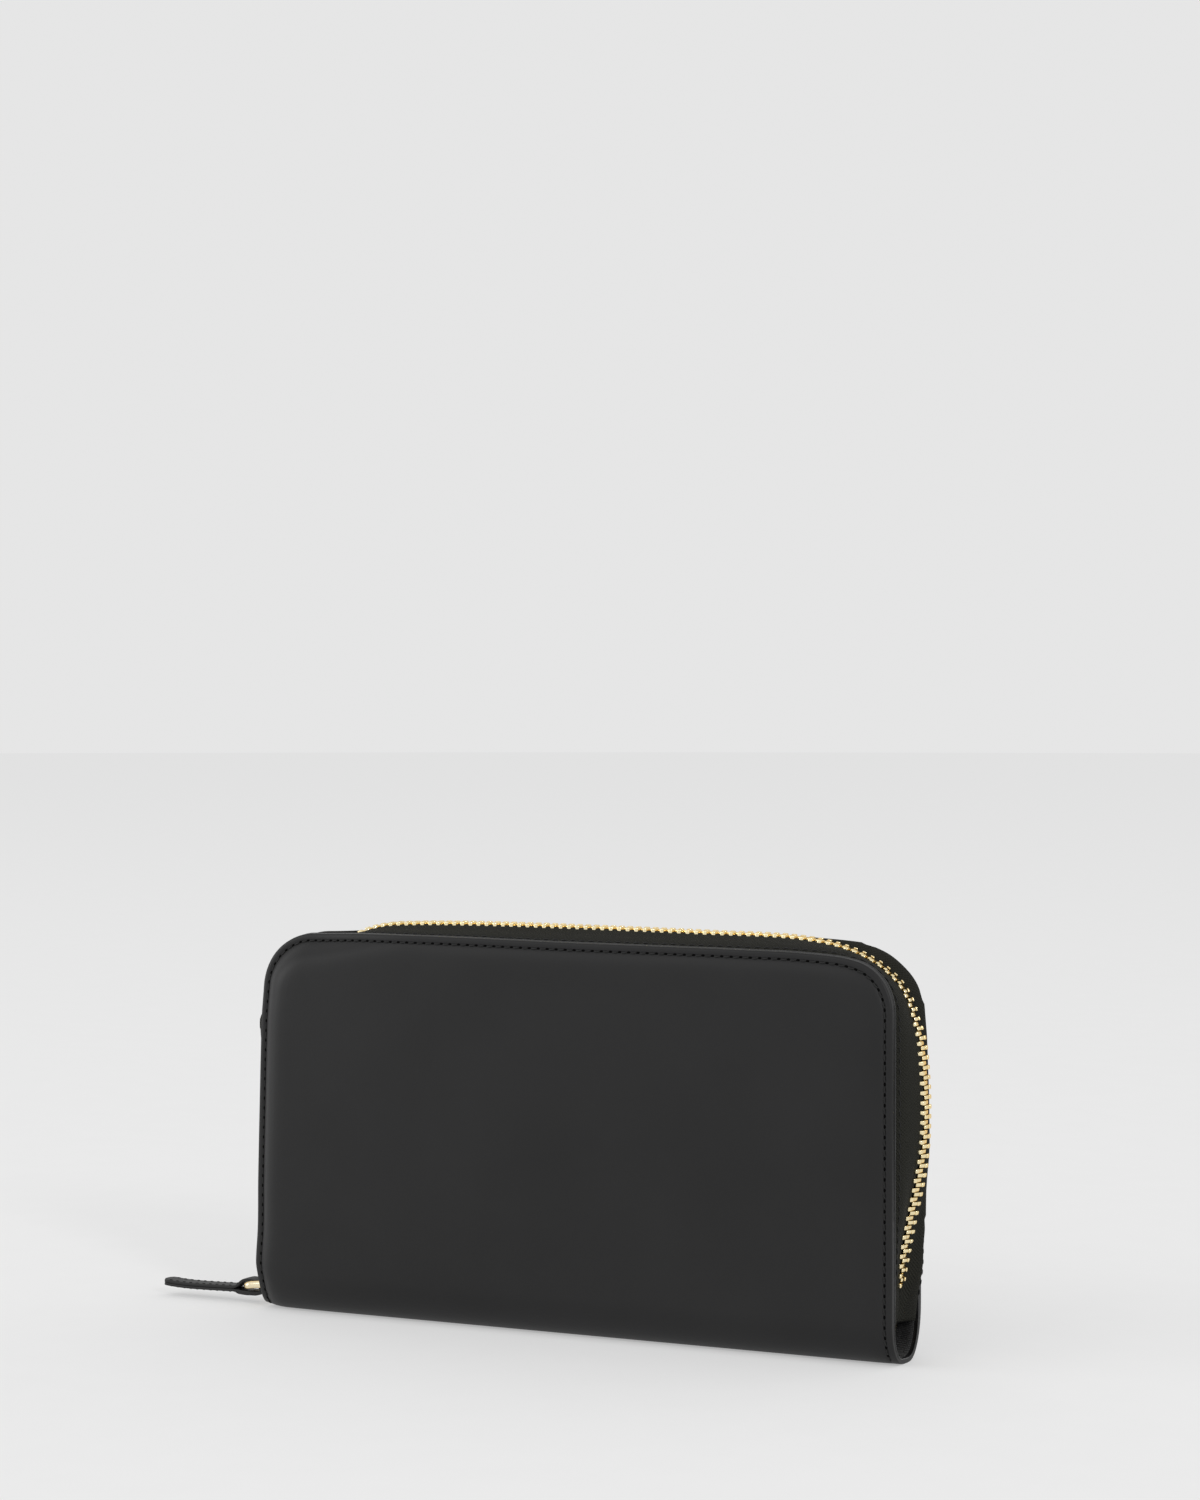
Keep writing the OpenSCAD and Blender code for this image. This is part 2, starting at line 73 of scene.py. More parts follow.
def make_camera():
    data = bpy.data.cameras.new("camera")
    data.lens = LENS
    data.clip_start = 0.05
    data.clip_end = 30
    camera = put_in("camera", data)
    camera.location = [v * MM for v in CAMERA_AT]
    camera.rotation_euler = (math.radians(90 - CAMERA_DIP), 0, math.radians(CAMERA_TURN))
    bpy.context.scene.camera = camera


make_camera()
bpy.context.scene.view_settings.view_transform = "Standard"

# ---- sizes, from the frame, in millimetres

panel_low, panel_high = [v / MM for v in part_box("front_cover_leather")]
HALF_LEN = panel_high.x
TOP = panel_high.z
FACE = -panel_low.y
CORNER_R = 15.5
CORNER_X = HALF_LEN - CORNER_R
CORNER_Z = TOP - CORNER_R
EDGE = 8.9  # leather's inner edge from the middle plane, where the wallet is fullest
SIDE = 2.0  # thickness of the turned edge, up to where it rounds over
SPINE_LEATHER = 1.15  # its thickness under the spine
ROUND = 0.4  # how much the round adds
FACE_FLAT = FACE - 0.3  # the padded face, before its soft middle
CUSHION = 2.3  # how far the padding takes to rise from the seam, where the seam lies highest
CUSHION_MORE = 0.085  # farther, by the square of how much lower the seam lies
WALL = 8.75  # inner face of the cover, away from the edges
STITCH_IN = 1.95
STITCH_PITCH = 2.68
TOOTH_PITCH = 2.5
LINING_IN = 1.3  # the lining stops this far in from the leather's edge
LINING_GAP = 0.05
FOLD_FLAT = {-1: 3.4, 1: 0.8}  # half the strip under the spine that lies on the table, front and rear
FOLD_HIGH = 14.0  # the cover turns up from the table within this height
ARC_STEPS = 16  # steps round a panel's corner, and round the turn under the spine
SIDE_ROWS = 53  # rows up a cover's straight side
TOP_COLUMNS = 101  # columns along its straight top

slider_low, slider_high = [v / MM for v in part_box("zip_slider_body")]
JOINTS = {j["name"]: j for j in frame["joints"]}

# ---- small tools


def distances(points):
    """How far along a line each of its points lies."""
    steps = np.linalg.norm(np.diff(np.asarray(points, float), axis=0), axis=1)
    return np.concatenate([[0], np.cumsum(steps)])


def smooth(a, b, x):
    t = np.clip((np.asarray(x, float) - a) / (b - a), 0, 1)
    return t * t * (3 - 2 * t)


def through(points, x):
    """A smooth curve through (x, y) control points."""
    p = np.array(points, float)
    slope = np.gradient(p[:, 1], p[:, 0])
    x = np.clip(np.asarray(x, float), p[0, 0], p[-1, 0])
    k = np.clip(np.searchsorted(p[:, 0], x, side="right") - 1, 0, len(p) - 2)
    step = p[k + 1, 0] - p[k, 0]
    t = (x - p[k, 0]) / step
    return ((1 + 2 * t) * (1 - t) ** 2 * p[k, 1] + t * (1 - t) ** 2 * step * slope[k]
            + t * t * (3 - 2 * t) * p[k + 1, 1] + t * t * (t - 1) * step * slope[k + 1])


def mesh_piece(name, verts, faces, uvs=None, side=1):
    """A mesh from points in millimetres; uvs holds one (u, v) per point, and side -1 mirrors it."""
    mesh = bpy.data.meshes.new(name)
    points = np.asarray(verts, float) * (MM, side * MM, MM)
    mesh.from_pydata(points.tolist(), [], [list(map(int, f)) for f in faces])
    if uvs is not None:
        layer = mesh.uv_layers.new(name="along")
        index = np.zeros(len(mesh.loops), int)
        mesh.loops.foreach_get("vertex_index", index)
        layer.data.foreach_set("uv", np.asarray(uvs, float)[index].ravel())
    mesh.validate()
    bm = bmesh.new()
    bm.from_mesh(mesh)
    bmesh.ops.remove_doubles(bm, verts=bm.verts, dist=1e-6)
    bmesh.ops.recalc_face_normals(bm, faces=bm.faces)
    bm.to_mesh(mesh)
    bm.free()
    mesh.polygons.foreach_set("use_smooth", [True] * len(mesh.polygons))
    return put_in(name, mesh)


def grid_faces(rows, cols, start=0, wrap=False):
    """Quads between rows of points; wrap closes each row into a loop."""
    faces = []
    for r in range(rows - 1):
        for c in range(cols if wrap else cols - 1):
            d = (c + 1) % cols
            a = start + r * cols
            faces.append((a + c, a + d, a + cols + d, a + cols + c))
    return faces


def dress(obj, material, slot, *nodes):
    obj.data.materials.clear()
    obj.data.materials.append(material)
    if nodes:
        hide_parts(*nodes)


def tube(points, radius, sides=8):
    """Points and faces of a round rod along a line."""
    p = np.asarray(points, float)
    t = np.gradient(p, axis=0)
    t /= np.linalg.norm(t, axis=1)[:, None]
    ref = np.array([0, 1.0, 0.02])
    a = np.cross(t, ref)
    a /= np.linalg.norm(a, axis=1)[:, None]
    b = np.cross(t, a)
    ang = np.arange(sides) / sides * 2 * math.pi
    ring = (a[:, None] * np.cos(ang)[None, :, None] + b[:, None] * np.sin(ang)[None, :, None]) * radius
    verts = (p[:, None] + ring).reshape(-1, 3)
    faces = grid_faces(len(p), sides, wrap=True)
    faces.append(tuple(range(sides))[::-1])
    faces.append(tuple((len(p) - 1) * sides + k for k in range(sides)))
    return verts, faces


def gather(parts):
    """Several (points, faces) as one."""
    verts, faces, n = [], [], 0
    for v, f in parts:
        verts.append(np.asarray(v, float))
        faces += [tuple(i + n for i in face) for face in f]
        n += len(v)
    return np.vstack(verts), faces


def tooth_part(near, far, half_near, half_far, half_long, bevel, size=1.0):
    """A bevelled block, tapered from near to far across the zip: points are (along, across, up)."""
    outline = ((near, -half_near), (far, -half_far), (far, half_far), (near, half_near))
    bm = bmesh.new()
    ring = [bm.verts.new((-half_long * size, u * size, v * size)) for u, v in outline]
    out = bmesh.ops.extrude_face_region(bm, geom=[bm.faces.new(ring)])
    moved = [g for g in out["geom"] if isinstance(g, bmesh.types.BMVert)]
    bmesh.ops.translate(bm, verts=moved, vec=(2 * half_long * size, 0, 0))
    bmesh.ops.recalc_face_normals(bm, faces=bm.faces)
    bmesh.ops.bevel(bm, geom=bm.edges[:], offset=bevel * size, segments=2, affect="EDGES", profile=0.6)
    bm.verts.index_update()
    verts = np.array([v.co[:] for v in bm.verts])
    faces = [tuple(v.index for v in f.verts) for f in bm.faces]
    bm.free()
    return verts, faces


# ---- materials


class Nodes:
    """A short way to write a material's nodes."""

    def __init__(self, name):
        self.material = bpy.data.materials.new(name)
        self.material.use_nodes = True
        self.tree = self.material.node_tree
        self.shader = next(n for n in self.tree.nodes if n.type == "BSDF_PRINCIPLED")
        self.place = self.add("ShaderNodeTexCoord")

    def add(self, kind, **values):
        node = self.tree.nodes.new(kind)
        for key, value in values.items():
            if hasattr(node, key):
                setattr(node, key, value)
            else:
                node.inputs[key.replace("_", " ")].default_value = value
        return node

    def link(self, source, node, into):
        self.tree.links.new(source, node.inputs[into])

    def set(self, **values):
        for key, value in values.items():
            self.shader.inputs[key.replace("_", " ")].default_value = value

    def texture(self, kind, **values):
        """A texture's value, laid out in the piece's own space."""
        node = self.add("ShaderNodeTex" + kind, **values)
        self.link(self.place.outputs["Object"], node, "Vector")
        return node.outputs["Distance" if kind == "Voronoi" else "Fac"]

    def math(self, operation, a, b=0.0):
        """A sum on one value, with another or with a number."""
        node = self.add("ShaderNodeMath", operation=operation)
        self.link(a, node, 0)
        if isinstance(b, float):
            node.inputs[1].default_value = b
        else:
            self.link(b, node, 1)
        return node.outputs[0]

    def colour(self, source, *stops):
        """The base colour, as a ramp of two stops over a value."""
        node = self.add("ShaderNodeValToRGB")
        for element, (place, tone) in zip(node.color_ramp.elements, stops):
            element.position = place
            element.color = (*tone, 1)
        self.link(source, node, 0)
        self.link(node.outputs[0], self.shader, "Base Color")

    def roughness(self, source, low, high):
        """The roughness, spread by a value between two limits."""
        span = self.add("ShaderNodeMapRange", To_Min=low, To_Max=high)
        self.link(source, span, "Value")
        self.link(span.outputs["Result"], self.shader, "Roughness")

    def bump(self, height, strength, distance, under=None):
        node = self.add("ShaderNodeBump", Strength=strength, Distance=distance)
        self.link(height, node, "Height")
        if under is not None:
            self.link(under, node, "Normal")
        return node.outputs[0]

    def normal(self, source):
        self.link(source, self.shader, "Normal")


def shade(tone, amount):
    return [c * amount for c in tone]


def leather_material(name, tone, gloss, grain=1.0):
    """Smooth nappa: fine pebbled grain, faint creases and a little uneven sheen."""
    n = Nodes(name)
    pebble = n.texture("Voronoi", Scale=1500.0, feature="SMOOTH_F1")
    pores = n.texture("Noise", Scale=700.0, Detail=4.0, Roughness=0.6)
    wear = n.texture("Noise", Scale=28.0, Detail=5.0, Roughness=0.55)
    n.colour(wear, (0.3, shade(tone, 0.86)), (0.7, shade(tone, 1.12)))
    n.roughness(wear, gloss - 0.05, gloss + 0.06)
    fine = n.bump(pebble, 0.16 * grain, 0.0001)
    n.normal(n.bump(pores, 0.12 * grain, 0.0001, fine))
    n.set(Specular_IOR_Level=0.26)
    return n.material


def edge_highlight_material():
    """Painted cut edge, paler where it is burnished; its grey, set well above the leather's, is partly a
    painted highlight for the light the edge catches.
    """
    n = Nodes("edge_paint_highlight")
    mottle = n.texture("Noise", Scale=160.0, Detail=3.0)
    n.colour(mottle, (0.35, (0.018, 0.018, 0.019)), (0.7, (0.04, 0.04, 0.041)))
    n.normal(n.bump(mottle, 0.3, 0.0001))
    n.set(Roughness=0.38, Specular_IOR_Level=0.5)
    return n.material


def thread_material(name, tone, shine=0.4):
    """Twisted thread: a fine slanted wave."""
    n = Nodes(name)
    twist = n.texture("Wave", Scale=1400.0, Distortion=1.0, bands_direction="DIAGONAL")
    n.colour(twist, (0.2, shade(tone, 0.6)), (0.8, tone))
    n.normal(n.bump(twist, 0.5, 0.0001))
    n.set(Roughness=0.75, Specular_IOR_Level=shine)
    return n.material


RIB_PITCH = 0.9
CROSS_PITCH = 0.45
HERRINGBONE = 3.2  # the ribs turn over after this width


def twill_material(name, tone):
    """Zip tape: diagonal ribs, turned over into a herringbone. Its u and v are millimetres."""
    n = Nodes(name)
    split = n.add("ShaderNodeSeparateXYZ")
    n.link(n.place.outputs["UV"], split, "Vector")
    along, across = split.outputs["X"], split.outputs["Y"]
    run = n.math("ADD", along, n.math("PINGPONG", across, HERRINGBONE))
    ribs = n.math("SINE", n.math("MULTIPLY", run, 2 * math.pi / RIB_PITCH))
    cross = n.math("SINE", n.math("MULTIPLY", along, 2 * math.pi / CROSS_PITCH))
    weave = n.math("ADD", n.math("MULTIPLY", ribs, 0.5), n.math("MULTIPLY", cross, 0.2))
    height = n.math("ADD", weave, n.texture("Noise", Scale=900.0, Detail=3.0))
    n.colour(n.math("MULTIPLY_ADD", height, 0.35), (0.1, shade(tone, 0.35)), (0.6, shade(tone, 1.6)))
    n.normal(n.bump(height, 0.7, 0.0004))
    n.set(Roughness=0.9, Specular_IOR_Level=0.2)
    return n.material


def cloth_material(name, tone):
    """Plain woven lining with a fuzz."""
    n = Nodes(name)
    warp = n.texture("Wave", Scale=700.0, Distortion=0.6, bands_direction="X")
    weft = n.texture("Wave", Scale=700.0, Distortion=0.6, bands_direction="Z")
    fuzz = n.texture("Noise", Scale=500.0, Detail=6.0, Roughness=0.7)
    height = n.math("ADD", n.math("MULTIPLY", warp, weft), fuzz)
    n.colour(n.math("MULTIPLY", height, 0.6), (0.25, shade(tone, 0.4)), (0.7, shade(tone, 1.7)))
    n.normal(n.bump(height, 0.7, 0.0004))
    n.set(Roughness=0.9, Sheen_Weight=0.1, Specular_IOR_Level=0.25)
    return n.material


def gold_material(name, tone, rough):
    """Plated metal with light handling marks."""
    n = Nodes(name)
    marks = n.texture("Noise", Scale=900.0, Detail=3.0, Roughness=0.5)
    tarnish = n.texture("Noise", Scale=120.0, Detail=2.0)
    n.colour(tarnish, (0.3, shade(tone, 0.9)), (0.7, tone))
    n.roughness(marks, rough - 0.05, rough + 0.07)
    n.normal(n.bump(marks, 0.08, 0.0001))
    n.set(Metallic=1.0, Specular_Tint=(1.0, 0.72, 0.36, 1.0))
    return n.material


def board_material(name, tone):
    """Pressed board with a fine grain."""
    n = Nodes(name)
    cells = n.texture("Voronoi", Scale=1200.0)
    n.colour(cells, (0.0, shade(tone, 0.7)), (0.6, tone))
    n.normal(n.bump(cells, 0.5, 0.0003))
    n.set(Roughness=0.95)
    return n.material


LEATHER_OUT = leather_material("cover_leather", (0.0112, 0.0112, 0.0115), 0.45)
LEATHER_IN = leather_material("pocket_leather", (0.016, 0.016, 0.016), 0.5, 1.4)
LEATHER_PULL = leather_material("pull_leather", (0.02, 0.02, 0.02), 0.5, 1.2)
# the edge bead's grey is real edge paint, made paler as a painted highlight where the edge catches light
EDGE_PAINT_HIGHLIGHT = edge_highlight_material()
THREAD = thread_material("thread", (0.011, 0.011, 0.011))
# near-black: painted shade for the needle holes, which show only as shadow
HOLE_SHADE_PAINT = thread_material("painted_hole_shade", (0.001, 0.001, 0.001), 0.05)
CUT_EDGE = leather_material("cut_edge", (0.15, 0.15, 0.152), 0.6, 1.5)
TWILL = twill_material("zip_tape", (0.0125, 0.0125, 0.01))
LINING = cloth_material("lining_cloth", (0.034, 0.034, 0.034))
GOLD = gold_material("zip_gold", (1.0, 0.87, 0.55), 0.14)
GOLD_PULL = gold_material("pull_gold", (1.0, 0.88, 0.62), 0.16)
BOARD = board_material("board", (0.36, 0.29, 0.2))

# ---- cover leather

# (height, how far the closed zip draws the leather's edge in): at the left end, and the rear at the right end
LEFT_PINCH = [(0, 1.6), (8, 1.4), (13, 0.8), (16, 1.0), (21, 1.6), (36, 2.0), (56, 2.8), (76, 3.7), (81, 4.0),
              (90, 5.2), (97, 5.8), (106, 5.8)]
REAR_PINCH = [(0, 2.0), (25, 2.0), (45, 1.4), (70, 1.4), (85, 2.6), (96, 3.4), (106, 3.0)]
# (place along the wallet, how far its top edge sags)
DROOP = [(-95, 0), (-88, 0.6), (-80, 0.5), (-62, -0.2), (-40, -0.35), (0, 0), (55, 0.25), (68, 0.4),
         (76, 0.8), (83, 1.2), (89, 0.5), (93, 0)]


def edge_half(x, z, side):
    """Distance of the leather's inner edge from the middle plane."""
    half = EDGE - through(LEFT_PINCH, z) * smooth(-44, -88, x)
    if side > 0:
        half = half - through(REAR_PINCH, z) * smooth(50, 80, x)
    return half


def droop(x, z):
    """How far the top edge sags at the two corners."""
    return through(DROOP, x) * smooth(60, 100, z)


def inset_of(x, z):
    """Distance in from the panel's edge, up to the corner radius."""
    over_x = np.maximum(np.abs(x) - CORNER_X, 0)
    over_z = np.maximum(np.asarray(z, float) - CORNER_Z, 0)
    return CORNER_R - np.hypot(over_x, over_z)


def outer_face(inset, x, z, side):
    """Distance of the outer face from the middle plane: the rounded edge, the sewn margin, the padding."""
    inset = np.asarray(inset, float)
    base = edge_half(x, z, side) + SIDE + ROUND * (1 - np.exp(-np.clip(inset, 0, None) / 0.22))
    base = base + 0.1 * np.clip(inset, 0, STITCH_IN)
    face = FACE_FLAT - 2.2 * smooth(-30, -95, x) * smooth(40, 105, z)
    soft = CUSHION + CUSHION_MORE * np.clip(face - base - 1.4, 0, None) ** 2
    rise = 1 - np.exp(-(np.clip(inset - STITCH_IN, 0, None) / soft) ** 1.35)
    return base + (face - base) * rise - 0.22 * np.exp(-((inset - STITCH_IN) / 0.38) ** 2)


def wall(inset, x, z, side):
    """Distance of the cover's inner face from the middle plane."""
    edge = edge_half(x, z, side)
    return edge + (WALL - edge) * (1 - np.exp(-(np.clip(inset, 0, None) / 3.5) ** 1.5))


def thickness(inset, x, z, side):
    """Depth from the outer to the inner face: thin under the spine, thick where board and foam lie."""
    full = outer_face(inset, x, z, side) - wall(inset, x, z, side)
    return SPINE_LEATHER + (full - SPINE_LEATHER) * smooth(2, 17, z)


def side_depth(x, z):
    """Thickness of the turned edge, thinner under the spine."""
    return SPINE_LEATHER + (SIDE - SPINE_LEATHER) * float(smooth(3, 20, z))


def end_lift(x, z):
    """How far the left end of the spine stands off the table, where the closed zip pulls it up."""
    return 0.9 * (np.clip(-87 - x, 0, 8) / 8) ** 2 * smooth(20, 2, z)


def fold_squash(x, side):
    """How much lower the front cover's turn is, away from the left end."""
    return 1.0 if side > 0 else 0.82 + 0.18 * float(smooth(-72, -93, x))


def fold_line():
    """The cover's line up from under the spine's middle: share of the way out, height, and outward normal."""
    turn = [math.radians(90 * k / ARC_STEPS) for k in range(ARC_STEPS + 1)]
    rows = [(math.sin(a), FOLD_HIGH * (1 - math.cos(a)), math.sin(a), -math.cos(a)) for a in turn]
    rows += [(1.0, z, 1.0, 0.0) for z in np.linspace(FOLD_HIGH, CORNER_Z, SIDE_ROWS + 1)[1:]]
    return np.array(rows)


def leather_point(x, inset, depth, row, side, lift=0.0):
    """A point of a cover: row is (share, height, normal) from the fold line, and depth is measured in from
    the outer face along the normal."""
    share, z, ny, nz = row
    if z <= FOLD_HIGH:
        z = z * fold_squash(x, side)
    flat = FOLD_FLAT[side] * min(1, share / 0.3)
    y = flat + share * (float(outer_face(inset, x, z, side)) + lift - flat)
    return x, y - ny * depth, z - nz * depth - float(droop(x, z)) + float(end_lift(x, z))


def cover_rows(inset, side, depth=0.0):
    """A loop of points, inset from the edge: up the left, over the top and down the right. Their depth from
    the outer face is a number, or a function of (x, z)."""
    line = fold_line()
    pts = []
    reach = HALF_LEN - inset
    r = CORNER_R - inset
    deep = depth if callable(depth) else lambda x, z: depth

    def add(x, row):
        pts.append(leather_point(x, inset, float(deep(x, row[1])), row, side))

    def add_corner(centre, first):
        for k in range(1, ARC_STEPS + 1):
            a = math.radians(first - 90 * k / ARC_STEPS)
            add(centre + r * math.cos(a), (1.0, CORNER_Z + r * math.sin(a), 1.0, 0.0))

    for row in line:
        add(-reach, row)
    add_corner(-CORNER_X, 180)
    for x in np.linspace(-CORNER_X, CORNER_X, TOP_COLUMNS)[1:]:
        add(x, (1.0, TOP - inset, 1.0, 0.0))
    add_corner(CORNER_X, 90)
    for row in line[:-1][::-1]:
        add(reach, row)
    return np.array(pts)


def face_middle(x, z):
    """Soft unevenness of the padded face."""
    crown = 0.3 * np.cos(np.pi * x / 2 / HALF_LEN) * smooth(10, 60, z) * smooth(TOP, 60, z)
    return crown + 0.05 * np.sin(x / 17 + 1.3) * np.sin(z / 13 + 0.4)


# how far in from the edge the loops of points lie: inside the cover, over its face, and round its edge, where
# their depth is a share of the edge's thickness and an amount added to it
INNER_INSETS = (7.4, 5.0, 3.0, 1.2, 0.3)
FACE_INSETS = (0.03, 0.1, 0.2, 0.35, 0.6, 0.9, 1.3, 1.55, 1.75, 1.95, 2.15, 2.4, 2.8, 3.3, 3.9, 4.6, 5.4, 6.3,
               7.4, 8.8, 11, 13.5)
EDGE_LOOPS = ((0.12, 1.0, 0.12), (0.02, 1.0, 0.0), (0.0, 0.75, 0.0), (0.0, 0.5, 0.0), (0.0, 0.0, 0.3))


def cover_loops(side):
    """The leather's loops of points: out along its inside, round the edge, and in over its face."""
    loops = [cover_rows(inset, side, lambda x, z: thickness(inset, x, z, side)) for inset in INNER_INSETS]
    loops += [cover_rows(inset, side, lambda x, z: side_depth(x, z) * share + more)
              for inset, share, more in EDGE_LOOPS]
    return loops + [cover_rows(inset, side) for inset in FACE_INSETS]


def join_faces(first, start, rows):
    """Faces from the innermost loop of points, from first on, to the middle grid, from start on."""
    top = start + (rows - 1) * TOP_COLUMNS
    last = TOP_COLUMNS - 1
    target = [start + r * TOP_COLUMNS for r in range(rows)]
    target += [top] * ARC_STEPS
    target += [top + c for c in range(1, TOP_COLUMNS)]
    target += [top + last] * ARC_STEPS
    target += [start + r * TOP_COLUMNS + last for r in range(rows - 2, -1, -1)]
    faces = []
    for k in range(len(target) - 1):
        quad = (first + k, first + k + 1, target[k + 1], target[k])
        faces.append(quad[:3] if target[k] == target[k + 1] else quad)
    return faces


def cover_leather(tag, side):
    """One padded cover with its half of the spine: side -1 is the front."""
    loops = cover_loops(side)
    count = len(loops[0])
    verts = [p for loop in loops for p in loop]
    start = len(verts)
    line = fold_line()
    columns = np.linspace(-CORNER_X, CORNER_X, TOP_COLUMNS)
    verts += [leather_point(x, CORNER_R, 0, row, side, float(face_middle(x, row[1])))
              for row in line for x in columns]
    faces = grid_faces(len(loops), count)
    faces += grid_faces(len(line), TOP_COLUMNS, start)
    faces += join_faces(start - count, start, len(line))
    obj = mesh_piece(tag + "_cover_skin", verts, faces, side=side)
    dress(obj, LEATHER_OUT, "cover_leather", tag + "_cover_leather", tag + "_foam", "spine_leather")
    blend_side(obj)


def cover_lining(tag, side):
    """The cloth inside one cover and its half of the spine."""
    line = fold_line()
    even = np.linspace(-1, 1, 91)
    spans = np.sin(even * math.pi / 2) * 0.5 + even * 0.5
    tops = CORNER_Z + (CORNER_R - LINING_IN) * np.sin(np.linspace(0, math.pi / 2, 13)[1:])
    rows = [*line, *[(1.0, z, 1.0, 0.0) for z in tops]]
    verts, uvs = [], []
    for row in rows:
        over = max(row[1] - CORNER_Z, 0)
        reach = CORNER_X + math.sqrt(max((CORNER_R - LINING_IN) ** 2 - over ** 2, 0))
        for s in spans:
            x = s * reach
            inset = float(inset_of(x, row[1]))
            deep = float(thickness(inset, x, row[1], side)) + LINING_GAP
            verts.append(leather_point(x, inset, deep, row, side))
            uvs.append((x, row[1]))
    obj = mesh_piece(tag + "_cover_lining", verts, grid_faces(len(rows), len(spans)), uvs, side)
    thicken(obj, 0.35)
    dress(obj, LINING, "lining_cloth", tag + "_lining", "spine_lining")
    blend_side(obj)


def thicken(obj, amount):
    """Gives a sheet its thickness, as real geometry."""
    solid = obj.modifiers.new("thickness", "SOLIDIFY")
    solid.thickness = amount * MM
    solid.offset = 0
    bpy.context.view_layer.update()
    mesh = bpy.data.meshes.new_from_object(obj.evaluated_get(bpy.context.evaluated_depsgraph_get()))
    obj.modifiers.clear()
    obj.data = mesh


def blend_side(obj):
    """Bakes a piece's placement into its points."""
    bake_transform(obj)


def edge_bead(tag, side):
    """The painted edge of the turned leather, a fine bead along its inner corner; its paler grey is partly a
    painted highlight along the edge.
    """
    path = cover_rows(0.02, side, lambda x, z: side_depth(x, z) + 0.1)
    path[:, 1] *= side
    # a pale bead: real edge paint, and partly a painted highlight along the leather's edge
    obj = mesh_piece(tag + "_edge_paint_highlight", *tube(path, 0.17, 6))
    dress(obj, EDGE_PAINT_HIGHLIGHT, "cover_leather")
    blend_side(obj)


def walk(points, pitch, begin=0.0):
    """Places along a line at an even pitch: positions and directions."""
    p = np.asarray(points, float)
    d = distances(p)
    s = np.arange(begin, d[-1], pitch)
    reach = 0.4
    at, ahead, behind = [np.array([np.interp(s + shift, d, p[:, k]) for k in range(3)]).T
                         for shift in (0, reach, -reach)]
    t = ahead - behind
    return at, t / np.linalg.norm(t, axis=1)[:, None]


def stitch(at, along, up, length, radius, slant):
    """One stitch: a short thread that dives at both ends."""
    across = np.cross(up, along)
    across /= np.linalg.norm(across)
    along = along * math.cos(slant) + across * math.sin(slant)
    pts = [at + along * t * length / 2 + up * (0.16 - 0.6 * t ** 4) for t in (-1, -0.8, -0.4, 0, 0.4, 0.8, 1)]
    return tube(pts, radius, 6)


def seam_threads(seam, up, pitch, begin, length, radius):
    """Even stitches along a seam on a surface that faces up."""
    return [stitch(a, t, np.array(up), length, radius, 0.1) for a, t in zip(*walk(seam, pitch, begin))]


def sewn_piece(name, threads, slot, body, side=1):
    """Stitches as one piece that rides on a body."""
    obj = mesh_piece(name, *gather(threads), side=side)
    dress(obj, THREAD, slot)
    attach(obj, body)


def outward(line, out, place):
    """The outward direction at the line's point nearest to a place."""
    i = np.argmin(np.linalg.norm(line - place, axis=1))
    return out[i] / np.linalg.norm(out[i])


def stitches(name, line, out, length, radius, side):
    """Stitches along a line; out is the surface's outward direction at each of its points."""
    at, along = walk(line, STITCH_PITCH, begin=STITCH_PITCH / 2)
    threads = [stitch(p, t, outward(line, out, p), length, radius, 0.12 * side) for p, t in zip(at, along)]
    return mesh_piece(name, *gather(threads), side=side)


def painted_needle_hole_shades(name, line, out, side):
    """Small near-black lenses set into the groove between stitches: painted shade where the thread dives into
    its needle holes.
    """
    at, along = walk(line, STITCH_PITCH, begin=STITCH_PITCH)
    rings = [(0.2, 0.3), (0.12, 0.85), (-0.08, 1.0), (-0.4, 0.7)]
    sides = 8
    parts = []
    for p, t in zip(at, along):
        up = outward(line, out, p)
        across = np.cross(up, t)
        verts = [p + up * lift + t * 0.62 * wide * math.cos(a) + across * 0.45 * wide * math.sin(a)
                 for lift, wide in rings for a in np.arange(sides) * 2 * math.pi / sides]
        faces = grid_faces(len(rings), sides, wrap=True)
        faces += [tuple(range(sides)), tuple(range((len(rings) - 1) * sides, len(rings) * sides))]
        parts.append((verts, faces))
    return mesh_piece(name, *gather(parts), side=side)


def cover_stitches(tag, side):
    """The row of stitches round a cover's margin, and painted shade for the holes between them."""
    line = cover_rows(STITCH_IN, side)
    near = cover_rows(STITCH_IN - 0.25, side)
    out = np.cross(near - line, np.gradient(line, axis=0))
    out *= np.sign(out[:, 1] + 1e-9)[:, None]
    out[line[:, 2] < 2] = (0, 0, -1)
    out /= np.linalg.norm(out, axis=1)[:, None] + 1e-9
    clear = line[:, 2] > 0.9
    line, out = line[clear], out[clear]
    obj = stitches(tag + "_cover_stitches", line, out, 2.1, 0.25, side)
    dress(obj, THREAD, "cover_leather")
    blend_side(obj)
    # near-black lenses painting the shade inside the needle holes
    hole_shade_piece = painted_needle_hole_shades(tag + "_cover_stitches_hole_shade", line, out, side)
    dress(hole_shade_piece, HOLE_SHADE_PAINT, "cover_leather")
    blend_side(hole_shade_piece)


# ---- zip path

TURN = CORNER_R * math.pi / 2
U_LEFT = CORNER_Z
U_TOP = U_LEFT + TURN
U_TURN = U_TOP + 2 * CORNER_X
U_RIGHT = U_TURN + TURN
U_END = U_RIGHT + CORNER_Z
slide = JOINTS["zip_slider_slide"]["axis"]
LEAN = slide[0] / -slide[2]
SLIDER_AT = Vector(((slider_low.x + slider_high.x) / 2, 0, (slider_low.z + slider_high.z) / 2))


def left_lift(z):
    """The zip's line on the left, straight so that the slider can run on it."""
    return -(SLIDER_AT.x + HALF_LEN) + LEAN * (z - SLIDER_AT.z)


